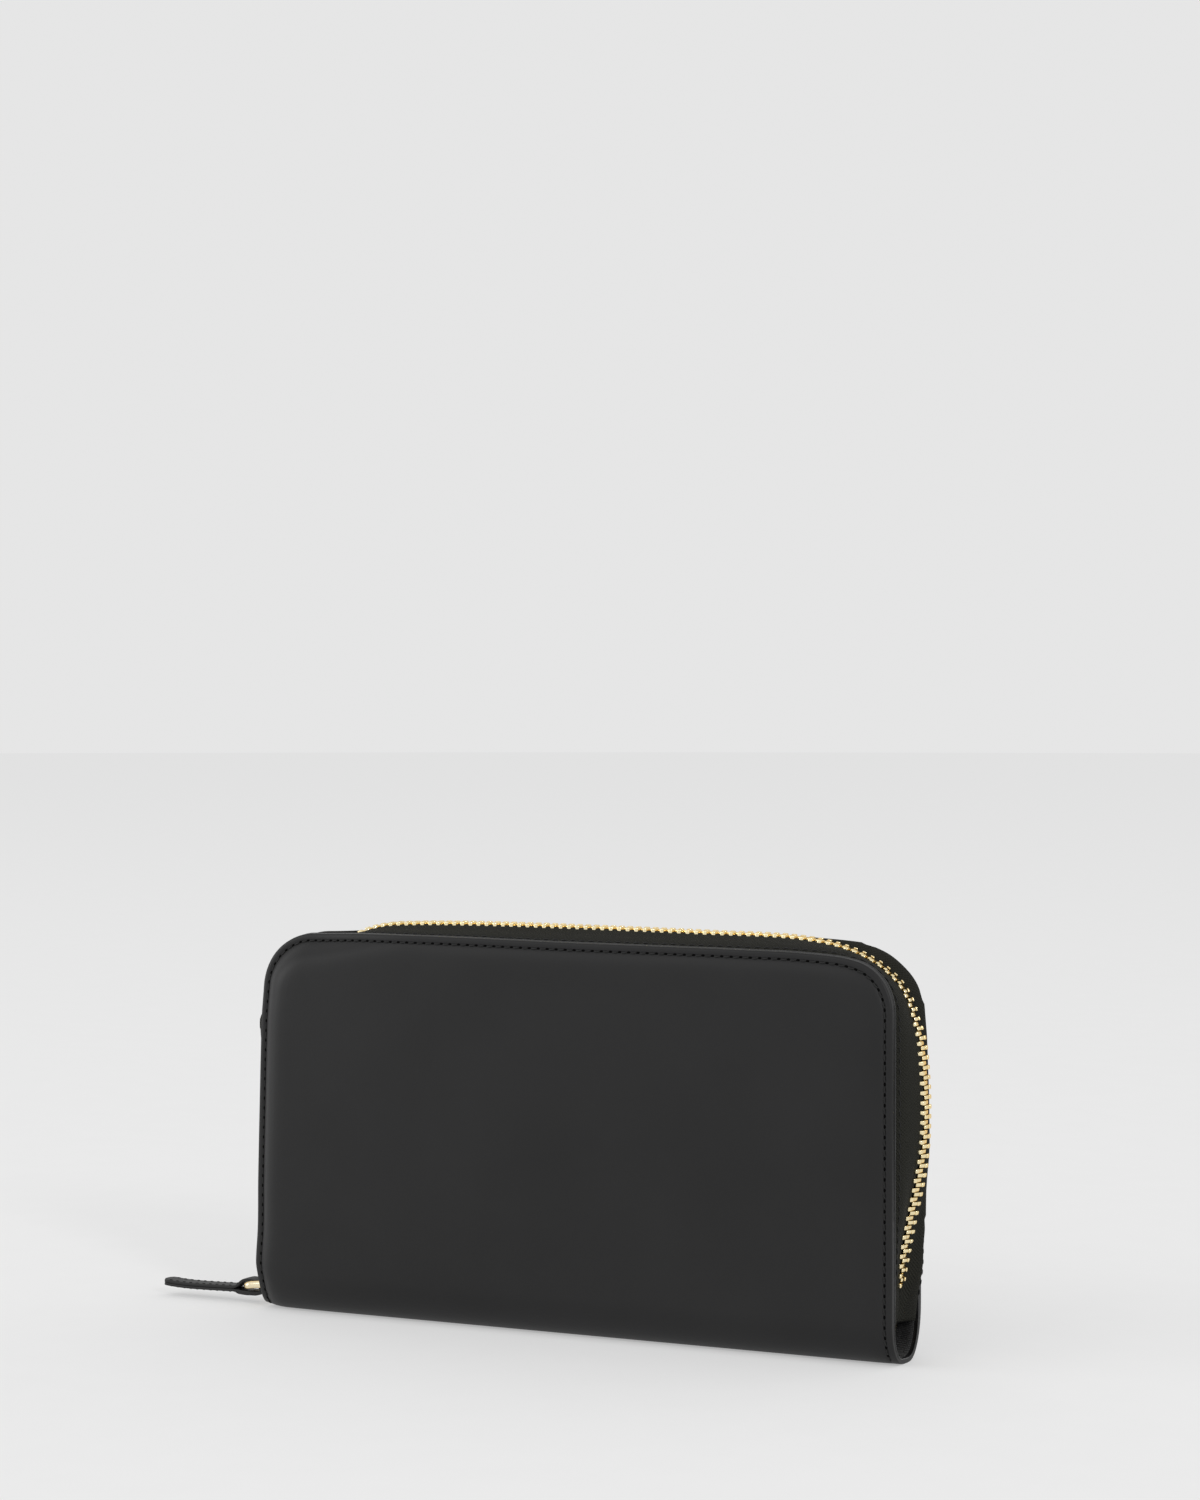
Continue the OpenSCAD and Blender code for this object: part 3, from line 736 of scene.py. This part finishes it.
def zip_lift():
    """(distance along the leather's edge, how far the zip stands out): it sinks at the two corners."""
    slide_end = 79.2
    straight = [(z, left_lift(z)) for z in (0, 30, 60, 74, slide_end)]
    return straight + [
        (82, left_lift(slide_end) - 0.15), (U_LEFT - 3, 1.1), (U_LEFT + 5, -0.7), (U_LEFT + 0.5 * TURN, -1.9),
        (U_TOP - 4, -2.7), (U_TOP + 4, -2.5), (U_TOP + 11, -1.3), (U_TOP + 16, 0.5), (U_TOP + 21, 1.6),
        (U_TOP + 30, 2.2), (U_TOP + 45, 2.65), (U_TURN - 40, 2.9), (U_TURN - 14, 2.5), (U_TURN - 5, 1.55),
        (U_TURN, 0.55), (U_TURN + 6, -0.8), (U_TURN + 0.5 * TURN, -1.4), (U_RIGHT - 6, -0.5), (U_RIGHT, 1.0),
        (U_RIGHT + 6, 2.85), (U_RIGHT + 16, 4.1), (U_RIGHT + 26, 4.4), (U_RIGHT + 34, 3.9),
        (U_RIGHT + 44, 2.2), (U_RIGHT + 53, 0.2), (U_RIGHT + 60, -1.1), (U_RIGHT + 68, -2.1),
        (U_END - 11, -3.3), (U_END, -4.6)]


def zip_twist(u):
    """Angle by which the chain turns towards the front, down the right end, and away from it at its foot."""
    towards = 13 * float(smooth(U_RIGHT + 26, U_RIGHT + 42, u))
    return math.radians(towards - 32 * float(smooth(U_RIGHT + 60, U_RIGHT + 76, u)))


def rear_bulge():
    """(distance along the leather's edge, how far the rear tape bellies out beyond a flat one)."""
    return [(0, 0), (U_TURN - 30, 0), (U_TURN - 8, 1.4), (U_TURN + 6, 2.6), (U_TURN + 0.6 * TURN, 2.7),
            (U_RIGHT, 2.1), (U_RIGHT + 12, 1.2), (U_RIGHT + 26, 1.1), (U_RIGHT + 38, 1.7),
            (U_RIGHT + 50, 2.1), (U_RIGHT + 59, 2.7), (U_RIGHT + 66, 3.0), (U_RIGHT + 72, 2.2),
            (U_END - 10, 0.6), (U_END, 0)]


def corner_at(centre, a):
    return centre + CORNER_R * math.cos(a), CORNER_Z + CORNER_R * math.sin(a), math.cos(a), math.sin(a)


def edge_at(u):
    """The leather's edge at a distance along it: x, z and the outward direction."""
    if u < U_LEFT:
        return -HALF_LEN, u, -1.0, 0.0
    if u < U_TOP:
        return corner_at(-CORNER_X, math.pi - (u - U_LEFT) / CORNER_R)
    if u < U_TURN:
        return u - U_TOP - CORNER_X, TOP, 0.0, 1.0
    if u < U_RIGHT:
        return corner_at(CORNER_X, math.pi / 2 - (u - U_TURN) / CORNER_R)
    return HALF_LEN, CORNER_Z - (u - U_RIGHT), 1.0, 0.0


ZIP_START = 3.0  # the tape and the teeth begin this far along the leather's edge
TAPE_SUNK = 3.5  # depth of the tape's hidden side under the leather's edge
TAPE_NEAR = 1.3  # from the middle plane to the tape's edge at the teeth
TAPE_STEPS = 17
SLIDER_LIP = 4.65  # the tape is flat this far from the middle plane, where the slider runs
SEAM_PLACE = 0.26  # where the tape is sewn, as a share of its width
FRONT_BULGE = 0.2  # the front tape's share of the rear one's belly
LEFT_FOOT = 15.5  # the teeth are hidden below these heights
RIGHT_FOOT = 19.5


def off_edge(u, out, y):
    """The point at a distance along the leather's edge, standing out from it, at y from the middle plane."""
    x, z, nx, nz = edge_at(u)
    return np.array((x + nx * out, y, z + nz * out - float(droop(x, z))))


def tape_course(us, side):
    """Distances along the edge, with how far the chain stands out and how far the tape bellies there."""
    return zip(us, through(zip_lift(), us), through(rear_bulge(), us) * (1.0 if side > 0 else FRONT_BULGE))


def tape_across(lift, bulge, span):
    """How far out a tape lies: (share of the way from under the leather to the teeth, distance). The bulge
    takes up a span of its width, from the leather's side."""
    if lift > 0.3:
        flat = [(0.0, -TAPE_SUNK), (0.16, -0.8), (0.3, 0.1 + 0.12 * lift), (0.6, 0.2 + 0.6 * lift),
                (0.85, 0.93 * lift), (1.0, lift)]
    else:
        flat = [(0.0, -TAPE_SUNK), (0.16, min(-0.8, 0.3 * lift)), (0.35, min(-0.3, 0.75 * lift)),
                (0.6, 0.97 * lift - 0.05), (0.85, lift), (1.0, lift)]
    return [(t, out + bulge * math.sin(math.pi * min(max((t - 0.1) / span, 0), 1)) ** 1.2) for t, out in flat]


def tape_at(t, u, lift, bulge, side):
    """A tape's place at t, 0 under the leather to 1 at the teeth: how far out, how far from the middle."""
    x, z, _, _ = edge_at(u)
    far = float(edge_half(x, z, side)) - 0.2
    y = far + (TAPE_NEAR - far) * float(smooth(0.05, 1.0, t) * 0.35 + 0.65 * max(0, (t - 0.12) / 0.88))
    span = 0.8 - 0.22 * float(smooth(U_RIGHT + 30, U_RIGHT + 55, u))
    out = float(through(tape_across(lift, bulge, span), t))
    if x < 0:
        sunk = max(float(smooth(SLIDER_LIP, max(far, SLIDER_LIP + 0.4), y)), float(smooth(0.08, 0, t)))
        flat = lift - (lift + TAPE_SUNK) * sunk
        out += (flat - out) * float(smooth(85, 80, z))
    return out + side * 1.6 * math.sin(zip_twist(u)) * float(smooth(0.35, 0.9, t)), y


def zip_tape(tag, side):
    """One half of the tape, from under the leather to the teeth."""
    us = np.arange(ZIP_START, U_END - 9.5, 1.1)
    verts, uvs = [], []
    for u, lift, bulge in tape_course(us, side):
        row = []
        for t in np.linspace(0, 1, TAPE_STEPS):
            out, y = tape_at(t, u, lift, bulge, side)
            row.append(off_edge(u, out, y * side))
        verts += row
        uvs += [(u, length) for length in distances(row)]
    obj = mesh_piece(tag + "_tape", verts, grid_faces(len(us), TAPE_STEPS), uvs)
    thicken(obj, 0.5)
    dress(obj, TWILL, "zip_tape", tag + "_zip_tape", "zip_tail_left", "zip_tail_right")
    blend_side(obj)


def main_tooth():
    """One tooth: a clamp on the tape's cord and a head that reaches past the middle."""
    size = 0.9
    clamp = tooth_part(1.25, 2.85, 1.15, 1.0, 0.62, 0.3, size)
    head = tooth_part(-0.95, 1.6, 0.72, 0.95, 0.56, 0.26, size)
    return gather([clamp, head])


def teeth_row(name, line, side, phase, shape, pitch, hidden=lambda p: False, twist=lambda s: 0.0):
    """Teeth at an even pitch along a line; hidden says which are left out, twist how far each one turns."""
    at, along = walk(line, pitch, begin=phase * pitch)
    verts, faces = shape
    parts = []
    for k, (p, t) in enumerate(zip(at, along)):
        if hidden(p):
            continue
        flat, up = np.array((0, 1.0, 0)), np.cross(t, (0, 1, 0))
        if up[2] + up[0] * np.sign(p[0]) < 0:
            up = -up
        turn = twist((k + phase) * pitch)
        across = (flat * math.cos(turn) + up * math.sin(turn)) * side
        up = up * math.cos(turn) - flat * math.sin(turn)
        parts.append((p + verts @ np.array((t, across, up)), faces))
    return mesh_piece(name, *gather(parts))


def main_teeth(tag, side):
    """One side's row of teeth, along the chain's line midway between the covers."""
    us = np.linspace(ZIP_START, U_END - 3.0, 700)
    line = np.array([off_edge(u, lift, 0) for u, lift in zip(us, through(zip_lift(), us))])
    run = distances(line)
    phase = 0.0 if side < 0 else 0.5
    obj = teeth_row(tag + "_teeth", line, side, phase, main_tooth(), pitch=TOOTH_PITCH,
                    hidden=lambda p: p[2] < (LEFT_FOOT if p[0] < 0 else RIGHT_FOOT),
                    twist=lambda s: zip_twist(float(np.interp(s, run, us))))
    dress(obj, GOLD, "gold_teeth", tag + "_zip_teeth", "zip_end_teeth_left", "zip_end_teeth_right")
    blend_side(obj)


def tape_seam(tag, side):
    """The row of stitches that holds the tape, just inside the leather's edge."""
    us = np.arange(U_LEFT - 3, U_END - 16, 1.5)
    line, out = [], []
    for u, lift, bulge in tape_course(us, side):
        high, y = tape_at(SEAM_PLACE, u, lift, bulge, side)
        _, _, nx, nz = edge_at(u)
        line.append(off_edge(u, high + 0.28, y))
        out.append((nx, 0.25, nz))
    obj = stitches(tag + "_tape_seam", np.array(line), np.array(out), 2.1, 0.2, side)
    dress(obj, THREAD, "zip_tape")
    blend_side(obj)


# ---- inside the covers

SLOT_PLY = 0.4
SLOT_FOOT = 16
SLOT_TOP = 90
SLOT_DROP = 12  # each tier's mouth is this much lower than the last
SLOT_FAR = 88.5
SLOT_NEAR = 1.2
SLOT_SEAM = 1.7  # the stitches run this far below the mouth


def slot_place(x, z, side, tier):
    """Distance of a card slot's sheet from the middle plane; its mouth gapes a little."""
    inset = float(inset_of(x, z))
    top = SLOT_TOP - SLOT_DROP * tier
    gape = 0.22 * math.exp(-(top - z) / 4) * math.cos((abs(x) - 45) / 44 * 1.4)
    return float(wall(inset, x, z, side)) - 0.42 - (tier + 0.5) * SLOT_PLY - gape


def card_slot(tag, side, tier):
    """One tier of card slots: a leather sheet at each end of the cover, its mouth turned over and sewn."""
    name, body = f"{tag}_slot_{tier + 1}", tag + "_cover"
    top = SLOT_TOP - SLOT_DROP * tier
    seam_z = top - SLOT_SEAM
    heights = [*np.linspace(SLOT_FOOT, top - 3, 14), *np.linspace(top - 2.4, top, 6)]
    sheets, rolls, threads = [], [], []
    for end in (-1, 1):
        columns = np.linspace(SLOT_NEAR, SLOT_FAR, 30) * end
        verts = [(x, slot_place(x, z, side, tier) * side, z) for z in heights for x in columns]
        sheets.append((verts, grid_faces(len(heights), len(columns))))
        rolls.append(tube(verts[-len(columns):], 0.24))
        seam = [(x, slot_place(x, seam_z, side, tier) - 0.2, seam_z) for x in columns[1:-1]]
        threads += seam_threads(seam, (0.0, -1.0, 0.0), STITCH_PITCH, 1.0, 2.0, 0.15)
    obj = mesh_piece(name, *gather(sheets))
    thicken(obj, SLOT_PLY - 0.08)
    dress(obj, LEATHER_IN, "pocket_leather", f"{tag}_card_slot_{tier + 1}")
    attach(obj, body)
    roll = mesh_piece(name + "_turned_edge", *gather(rolls))
    dress(roll, LEATHER_IN, "pocket_leather")
    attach(roll, body)
    sewn_piece(name + "_stitches", threads, "pocket_leather", body, side)


GUSSET_LOW, GUSSET_HIGH = 8.4, 77.0
GUSSET_NEAR, GUSSET_FAR = 2.78, 6.3
GUSSET_X = 85.1  # its edge at the coin pocket's corner; at the cover it lies a little farther out
GUSSET_OUT = 1.2


def gusset(tag, side, end, word):
    """A folded cloth pleat between the coin pocket and a cover, deeper towards its top."""
    tall = GUSSET_HIGH - GUSSET_LOW
    heights = np.linspace(GUSSET_LOW, GUSSET_HIGH, 28)
    shares = np.linspace(0, 1, 17)
    verts, uvs = [], []
    area = 0.0
    for z in heights:
        deep = 3.0 + 11.0 * (z - GUSSET_LOW) / tall
        row = []
        for t in shares:
            fold = 1 - abs(2 * t - 1)
            fold = fold - 0.06 * math.sin(math.pi * fold)
            wave = 0.12 * math.sin(z / 9.0 + 4 * t) * math.sin(math.pi * t)
            x = GUSSET_X + GUSSET_OUT * t - deep * fold
            y = GUSSET_NEAR + (GUSSET_FAR - GUSSET_NEAR) * t + wave
            row.append((x * end, y * side, z))
        run = distances(row)
        widest = run[-1]
        area += widest * (heights[1] - heights[0])
        verts += row
        uvs += [(u, z) for u in run]
    obj = mesh_piece(f"{tag}_gusset_{word}", verts, grid_faces(len(heights), len(shares)), uvs)
    thicken(obj, 0.3)
    dress(obj, LINING, "lining_cloth", f"gusset_{tag}_{word}")
    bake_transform(obj)
    area = min(area, widest * tall) * MM * MM


# ---- coin pocket

COIN_HALF_LEN = 84.7
COIN_WALL = 2.35
COIN_FOOT = 2.1
COIN_TOP = 76.0
COIN_BEND = 1.6  # radius of the fold along its foot
COIN_LEATHER = 0.42
COIN_SEAM = 70.2  # height of its stitches
COIN_PITCH = 2.1
COIN_TEETH = 70
coin_low, coin_high = [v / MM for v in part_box("coin_zip_teeth_front")]
COIN_ZIP_Z = (coin_low.z + coin_high.z) / 2


def coin_wave(x, z):
    """Soft unevenness of the pocket's walls, none at their foot and top."""
    share = (z - COIN_FOOT) / (COIN_TOP - COIN_FOOT)
    return 0.14 * math.sin(x / 21 + 0.6) * math.sin(z / 17) * math.sin(math.pi * share)


def coin_bag():
    """The coin pocket's two walls and foot: one sheet of leather folded along the bottom."""
    line = [(-COIN_WALL, z) for z in np.linspace(COIN_TOP, COIN_FOOT + COIN_BEND, 24)]
    line += [(-COIN_WALL + COIN_BEND * (1 - math.cos(a)), COIN_FOOT + COIN_BEND * (1 - math.sin(a)))
             for a in np.linspace(0, math.pi / 2, 6)[1:]]
    line += [(-y, z) for y, z in line[::-1]]
    columns = np.linspace(-COIN_HALF_LEN, COIN_HALF_LEN, 60)
    verts = [(x, y + (coin_wave(x, z) if abs(y) > COIN_WALL - 0.05 else 0), z)
             for y, z in line for x in columns]
    obj = mesh_piece("coin_pocket_bag", verts, grid_faces(len(line), len(columns)))
    thicken(obj, COIN_LEATHER)
    dress(obj, LEATHER_IN, "pocket_leather", "coin_pocket_front", "coin_pocket_rear", "coin_pocket_base")
    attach(obj, "spine")


def coin_end(end, word):
    """The strip that closes one end of the coin pocket, bowed a little outwards."""
    rows = np.linspace(COIN_FOOT + 0.3, COIN_TOP, 24)
    across = np.linspace(-COIN_WALL - 0.2, COIN_WALL + 0.2, 9)
    verts = []
    for z in rows:
        for y in across:
            bow = 0.45 * (1 - (y / 2.6) ** 2) * math.sin(math.pi * z / 90)
            verts.append(((COIN_HALF_LEN + 0.25 + bow) * end, y, z))
    obj = mesh_piece("coin_pocket_end_" + word, verts, grid_faces(len(rows), len(across)))
    thicken(obj, COIN_LEATHER)
    dress(obj, LEATHER_IN, "pocket_leather", "coin_pocket_side_" + word)
    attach(obj, "spine")


def coin_stitches():
    """A row of stitches below the coin zip's tape, on each wall of the pocket."""
    seam = [(x, -(COIN_WALL + 0.62), COIN_SEAM) for x in np.linspace(-COIN_HALF_LEN, COIN_HALF_LEN, 60)]
    front = seam_threads(seam, (0.0, -1.0, 0.0), STITCH_PITCH, 1.0, 2.0, 0.16)
    rear = [(verts * (1, -1, 1), faces) for verts, faces in front]
    sewn_piece("coin_pocket_stitches", front + rear, "pocket_leather", "spine")


def coin_tape(tag, side):
    """One half of the coin zip's tape: flat by the teeth, then down over the pocket's wall."""
    z = COIN_ZIP_Z
    line = [(1.0, z), (1.8, z + 0.03), (2.6, z), (3.1, z - 0.12), (3.4, z - 0.5), (3.48, z - 1.3),
            (3.3, z - 2.6), (3.05, z - 3.8), (2.92, z - 5.2), (2.88, z - 7.2), (2.88, z - 9.2)]
    columns = np.linspace(-COIN_HALF_LEN, COIN_HALF_LEN, 90)
    verts, uvs = [], []
    for (y, height), run in zip(line, distances(line)):
        verts += [(x, (y + 0.05 * math.sin(x / 13)) * side, height) for x in columns]
        uvs += [(x, run) for x in columns]
    obj = mesh_piece("coin_tape_" + tag, verts, grid_faces(len(line), len(columns)), uvs)
    thicken(obj, 0.34)
    dress(obj, TWILL, "zip_tape", "coin_zip_tape_" + tag)
    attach(obj, "spine")


def coin_tooth():
    """A smaller tooth: a clamp and a head."""
    clamp = tooth_part(0.95, 1.95, 0.8, 0.72, 0.45, 0.2)
    head = tooth_part(-0.55, 1.1, 0.5, 0.7, 0.42, 0.18)
    return gather([clamp, head])


def coin_teeth(tag, side):
    """One side's row of the coin zip's teeth."""
    first = coin_low.x + 0.5
    line = [(x, 0.0, COIN_ZIP_Z) for x in np.linspace(first, first + COIN_PITCH * COIN_TEETH, 200)]
    phase = 0.25 if side < 0 else 0.75
    obj = teeth_row("coin_teeth_" + tag, line, side, phase, coin_tooth(), pitch=COIN_PITCH)
    dress(obj, GOLD, "gold_teeth", "coin_zip_teeth_" + tag)
    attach(obj, "spine")


# ---- ring and strap

PIVOT = Vector(JOINTS["pull_ring_swing"]["pos_m"]) / MM
FAR_BAR = Vector(JOINTS["pull_strap_swing"]["pos_m"]) / MM
RING_HALF = 4.0
RING_ARCH = 0.5  # the ring's sides bow up by this much
RING_WIRE = 1.0
RING_BEND = 2.2
STRAP_HALF = 2.8
STRAP_PLY = 0.84
# the strap's middle line and its loop: distance outwards from the ring's far bar, and height from it
STRAP_LINE = [(5.2, -1.3), (8, -1.34), (11.6, -1.44), (15.4, -1.52), (19, -1.56), (22.6, -1.5), (26.0, -1.3),
              (28.3, -1.08)]
STRAP_LOOP = [(5.2, -0.88), (4.3, -0.7), (3.4, -0.2), (2.5, 0.62), (1.4, 1.3), (-0.2, 1.46), (-1.7, 1.06),
              (-3.3, 0.15), (-4.2, -0.8), (-4.2, -1.6), (-3.2, -2.0), (-1, -2.18), (1.4, -2.2), (3, -2.06),
              (4.2, -1.75), (5.2, -1.66)]


def ring_loop(length):
    """The ring's outline, a rounded rectangle: places along it from the near bar, and across."""
    near, far, wide = RING_BEND, length - RING_BEND, RING_HALF - RING_BEND
    loop = []
    for cx, cy, first in ((far, wide, 0), (near, wide, 90), (near, -wide, 180), (far, -wide, 270)):
        for k in range(9):
            a = math.radians(first + 90 * k / 8)
            loop.append((cx + RING_BEND * math.cos(a), cy + RING_BEND * math.sin(a)))
    return loop


def pull_ring():
    """The pull's closed wire ring, whose sides bow up a little."""
    along = (FAR_BAR - PIVOT).normalized()
    side = Vector((0, 1, 0))
    high = along.cross(side)
    high *= math.copysign(1, high.z)
    length = (FAR_BAR - PIVOT).length
    loop = ring_loop(length)
    sides = 16
    verts = []
    for k, (x, y) in enumerate(loop):
        before, after = loop[k - 1], loop[(k + 1) % len(loop)]
        t = Vector((after[0] - before[0], after[1] - before[1])).normalized()
        arch = RING_ARCH * math.sin(math.pi * min(max(x / length, 0), 1))
        for j in range(sides):
            a = 2 * math.pi * j / sides
            across = RING_WIRE * math.cos(a)
            rise = RING_WIRE * math.sin(a) + arch
            verts.append(PIVOT + along * (x + t.y * across) + side * (y - t.x * across) + high * rise)
    faces = grid_faces(len(loop), sides, wrap=True)
    last = (len(loop) - 1) * sides
    faces += [(last + j, last + (j + 1) % sides, (j + 1) % sides, j) for j in range(sides)]
    obj = mesh_piece("pull_ring_wire", verts, faces)
    dress(obj, GOLD_PULL, "gold_metal", "pull_ring")
    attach(obj, "pull_ring")


def curve_through(points, count):
    """Evenly spaced points on a smooth curve through the given ones."""
    p = np.array(points, float)
    d = distances(p)
    s = np.linspace(0, d[-1], count)
    return np.array([through(np.column_stack([d, p[:, k]]), s) for k in range(2)]).T


def strap_half_width(out):
    """Half the strap's width: rounded corners at its tip, a little narrower in the loop."""
    tip = STRAP_LINE[-1][0]
    corner = 1.5
    into = min(max(corner - (tip - out), 0), corner)
    return STRAP_HALF - corner + math.sqrt(corner ** 2 - into ** 2) - 0.35 * float(smooth(6, 2, out))


def strap_section():
    """The ribbon's cross-section with rounded corners: shares of its half width and half thickness."""
    lower = [(-1, -0.4), (-0.985, -0.85), (-0.94, -1.0), (-0.5, -1.0), (0, -1.0), (0.5, -1.0), (0.94, -1.0),
             (0.985, -0.85), (1, -0.4)]
    return lower + [(across, -thick) for across, thick in lower[::-1]]


def strap_stitches(flat):
    """A row of stitches along each edge of the strap, on both faces."""
    threads = []
    for edge in (-1, 1):
        for face in (-1, 1):
            seam = [(FAR_BAR.x - o, edge * (STRAP_HALF - 0.75), FAR_BAR.z + z + face * STRAP_PLY * 0.88)
                    for o, z in flat[:-3]]
            threads += seam_threads(seam, (0.0, 0.0, float(face)), 2.2, 0.8, 1.5, 0.11)
    sewn_piece("pull_strap_stitches", threads, "cover_leather", "pull_strap")


def pull_strap():
    """Two plies of leather, sewn together along their edges, one ribbon folded round the ring's far bar."""
    half = STRAP_PLY / 2
    flat = curve_through(STRAP_LINE, 40)
    upper = flat[::-1] + (0, half)
    lower = flat - (0, half)
    line = np.vstack([upper[:-1], curve_through(STRAP_LOOP, 60), lower[1:]])
    t = np.gradient(line, axis=0)
    t /= np.linalg.norm(t, axis=1)[:, None]
    section = strap_section()
    verts = []
    for (out, up), (ahead, climb) in zip(line, t):
        wide = strap_half_width(out)
        fuller = 1 + 0.55 * float(smooth(-1.4, -2.1, up) * smooth(4.6, 3.0, out))
        for across, thick in section:
            swell = thick * half * fuller * (1 - 0.1 * abs(across) ** 3)
            verts.append((FAR_BAR.x - (out - climb * swell), across * wide, FAR_BAR.z + up + ahead * swell))
    count = len(section)
    faces = grid_faces(len(line), count, wrap=True)
    faces += [tuple(range(count)), tuple((len(line) - 1) * count + k for k in range(count))]
    obj = mesh_piece("pull_strap_leather", verts, faces)
    dress(obj, LEATHER_PULL, "cover_leather", "pull_strap")
    obj.data.materials.append(CUT_EDGE)
    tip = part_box("pull_strap")[0].x + 2 * MM
    for face in obj.data.polygons:
        if face.normal.x < -0.5 and face.center.x < tip:
            face.material_index = 1
    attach(obj, "pull_strap")
    strap_stitches(flat)


# ---- build

for tag, side in (("front", -1), ("rear", 1)):
    cover_leather(tag, side)
    cover_lining(tag, side)
    edge_bead(tag, side)
    cover_stitches(tag, side)
    zip_tape(tag, side)
    tape_seam(tag, side)
    main_teeth(tag, side)
    for tier in range(4):
        card_slot(tag, side, tier)
    for end, word in ((-1, "left"), (1, "right")):
        gusset(tag, side, end, word)
    coin_tape(tag, side)
    coin_teeth(tag, side)
coin_bag()
coin_end(-1, "left")
coin_end(1, "right")
coin_stitches()
pull_ring()
pull_strap()


def dress_cad():
    """The pieces that keep their CAD shape: a material of their own, and rolled edges on the metal."""
    looks = {"board": (BOARD, 0), "zip_slider": (GOLD_PULL, 0.22), "coin_slider": (GOLD_PULL, 0.14),
             "coin_pull": (GOLD_PULL, 0.14), "zip_stop": (GOLD, 0.14)}
    for name, node in frame["nodes"].items():
        for word, (material, roll) in looks.items():
            if word in name:
                node.data.materials.clear()
                node.data.materials.append(material)
                if roll:
                    round_edges(node, roll)


def round_edges(node, width):
    """Rolls a metal piece's sharp edges."""
    bevel = node.modifiers.new("rolled_edges", "BEVEL")
    bevel.width = width * MM
    bevel.segments = 3
    bevel.limit_method = "ANGLE"
    bevel.angle_limit = math.radians(40)


dress_cad()

# ---- floor and light

FLOOR_RADIUS = 9.0
WORLD_LIGHT = 0.79


def make_floor():
    """A pale round floor, as bright as the room's far walls."""
    radii = [0, 0.15, 0.4, 1.0, 2.5, 5.0, FLOOR_RADIUS]
    sides = 72
    verts = [(r * math.cos(a) / MM, r * math.sin(a) / MM, 0)
             for r in radii for a in 2 * math.pi * np.arange(sides) / sides]
    obj = mesh_piece("floor", verts, grid_faces(len(radii), sides, wrap=True))
    n = Nodes("floor")
    grain = n.texture("Noise", Scale=60.0, Detail=3.0)
    n.colour(grain, (0.2, (0.465, 0.465, 0.465)), (0.8, (0.475, 0.475, 0.475)))
    n.set(Roughness=0.9, Specular_IOR_Level=0.0, Emission_Color=(1, 1, 1, 1), Emission_Strength=0.385)
    obj.data.materials.append(n.material)


def area_light(name, place, aim, size, power):
    data = bpy.data.lights.new(name, "AREA")
    data.shape = "RECTANGLE"
    data.size, data.size_y = size
    data.energy = power
    obj = put_in(name, data)
    obj.location = place
    obj.rotation_mode = "QUATERNION"
    obj.rotation_quaternion = (Vector(aim) - Vector(place)).to_track_quat("-Z", "Y")


def make_lights():
    world = bpy.data.worlds.new("room")
    bpy.context.scene.world = world
    world.use_nodes = True
    back = world.node_tree.nodes["Background"]
    back.inputs[0].default_value = (1, 1, 1, 1)
    back.inputs[1].default_value = WORLD_LIGHT
    area_light("left", (-3.4, -1.5, 0.8), (0, 0, 0.05), (1.4, 1.4), 21)
    area_light("right", (2.6, -2.0, 1.5), (0.09, 0, 0.06), (0.5, 0.6), 26)
    area_light("front", (-1.2, -2.35, 1.85), (0, 0, 0.1), (2.4, 0.8), 9)


make_floor()
make_lights()
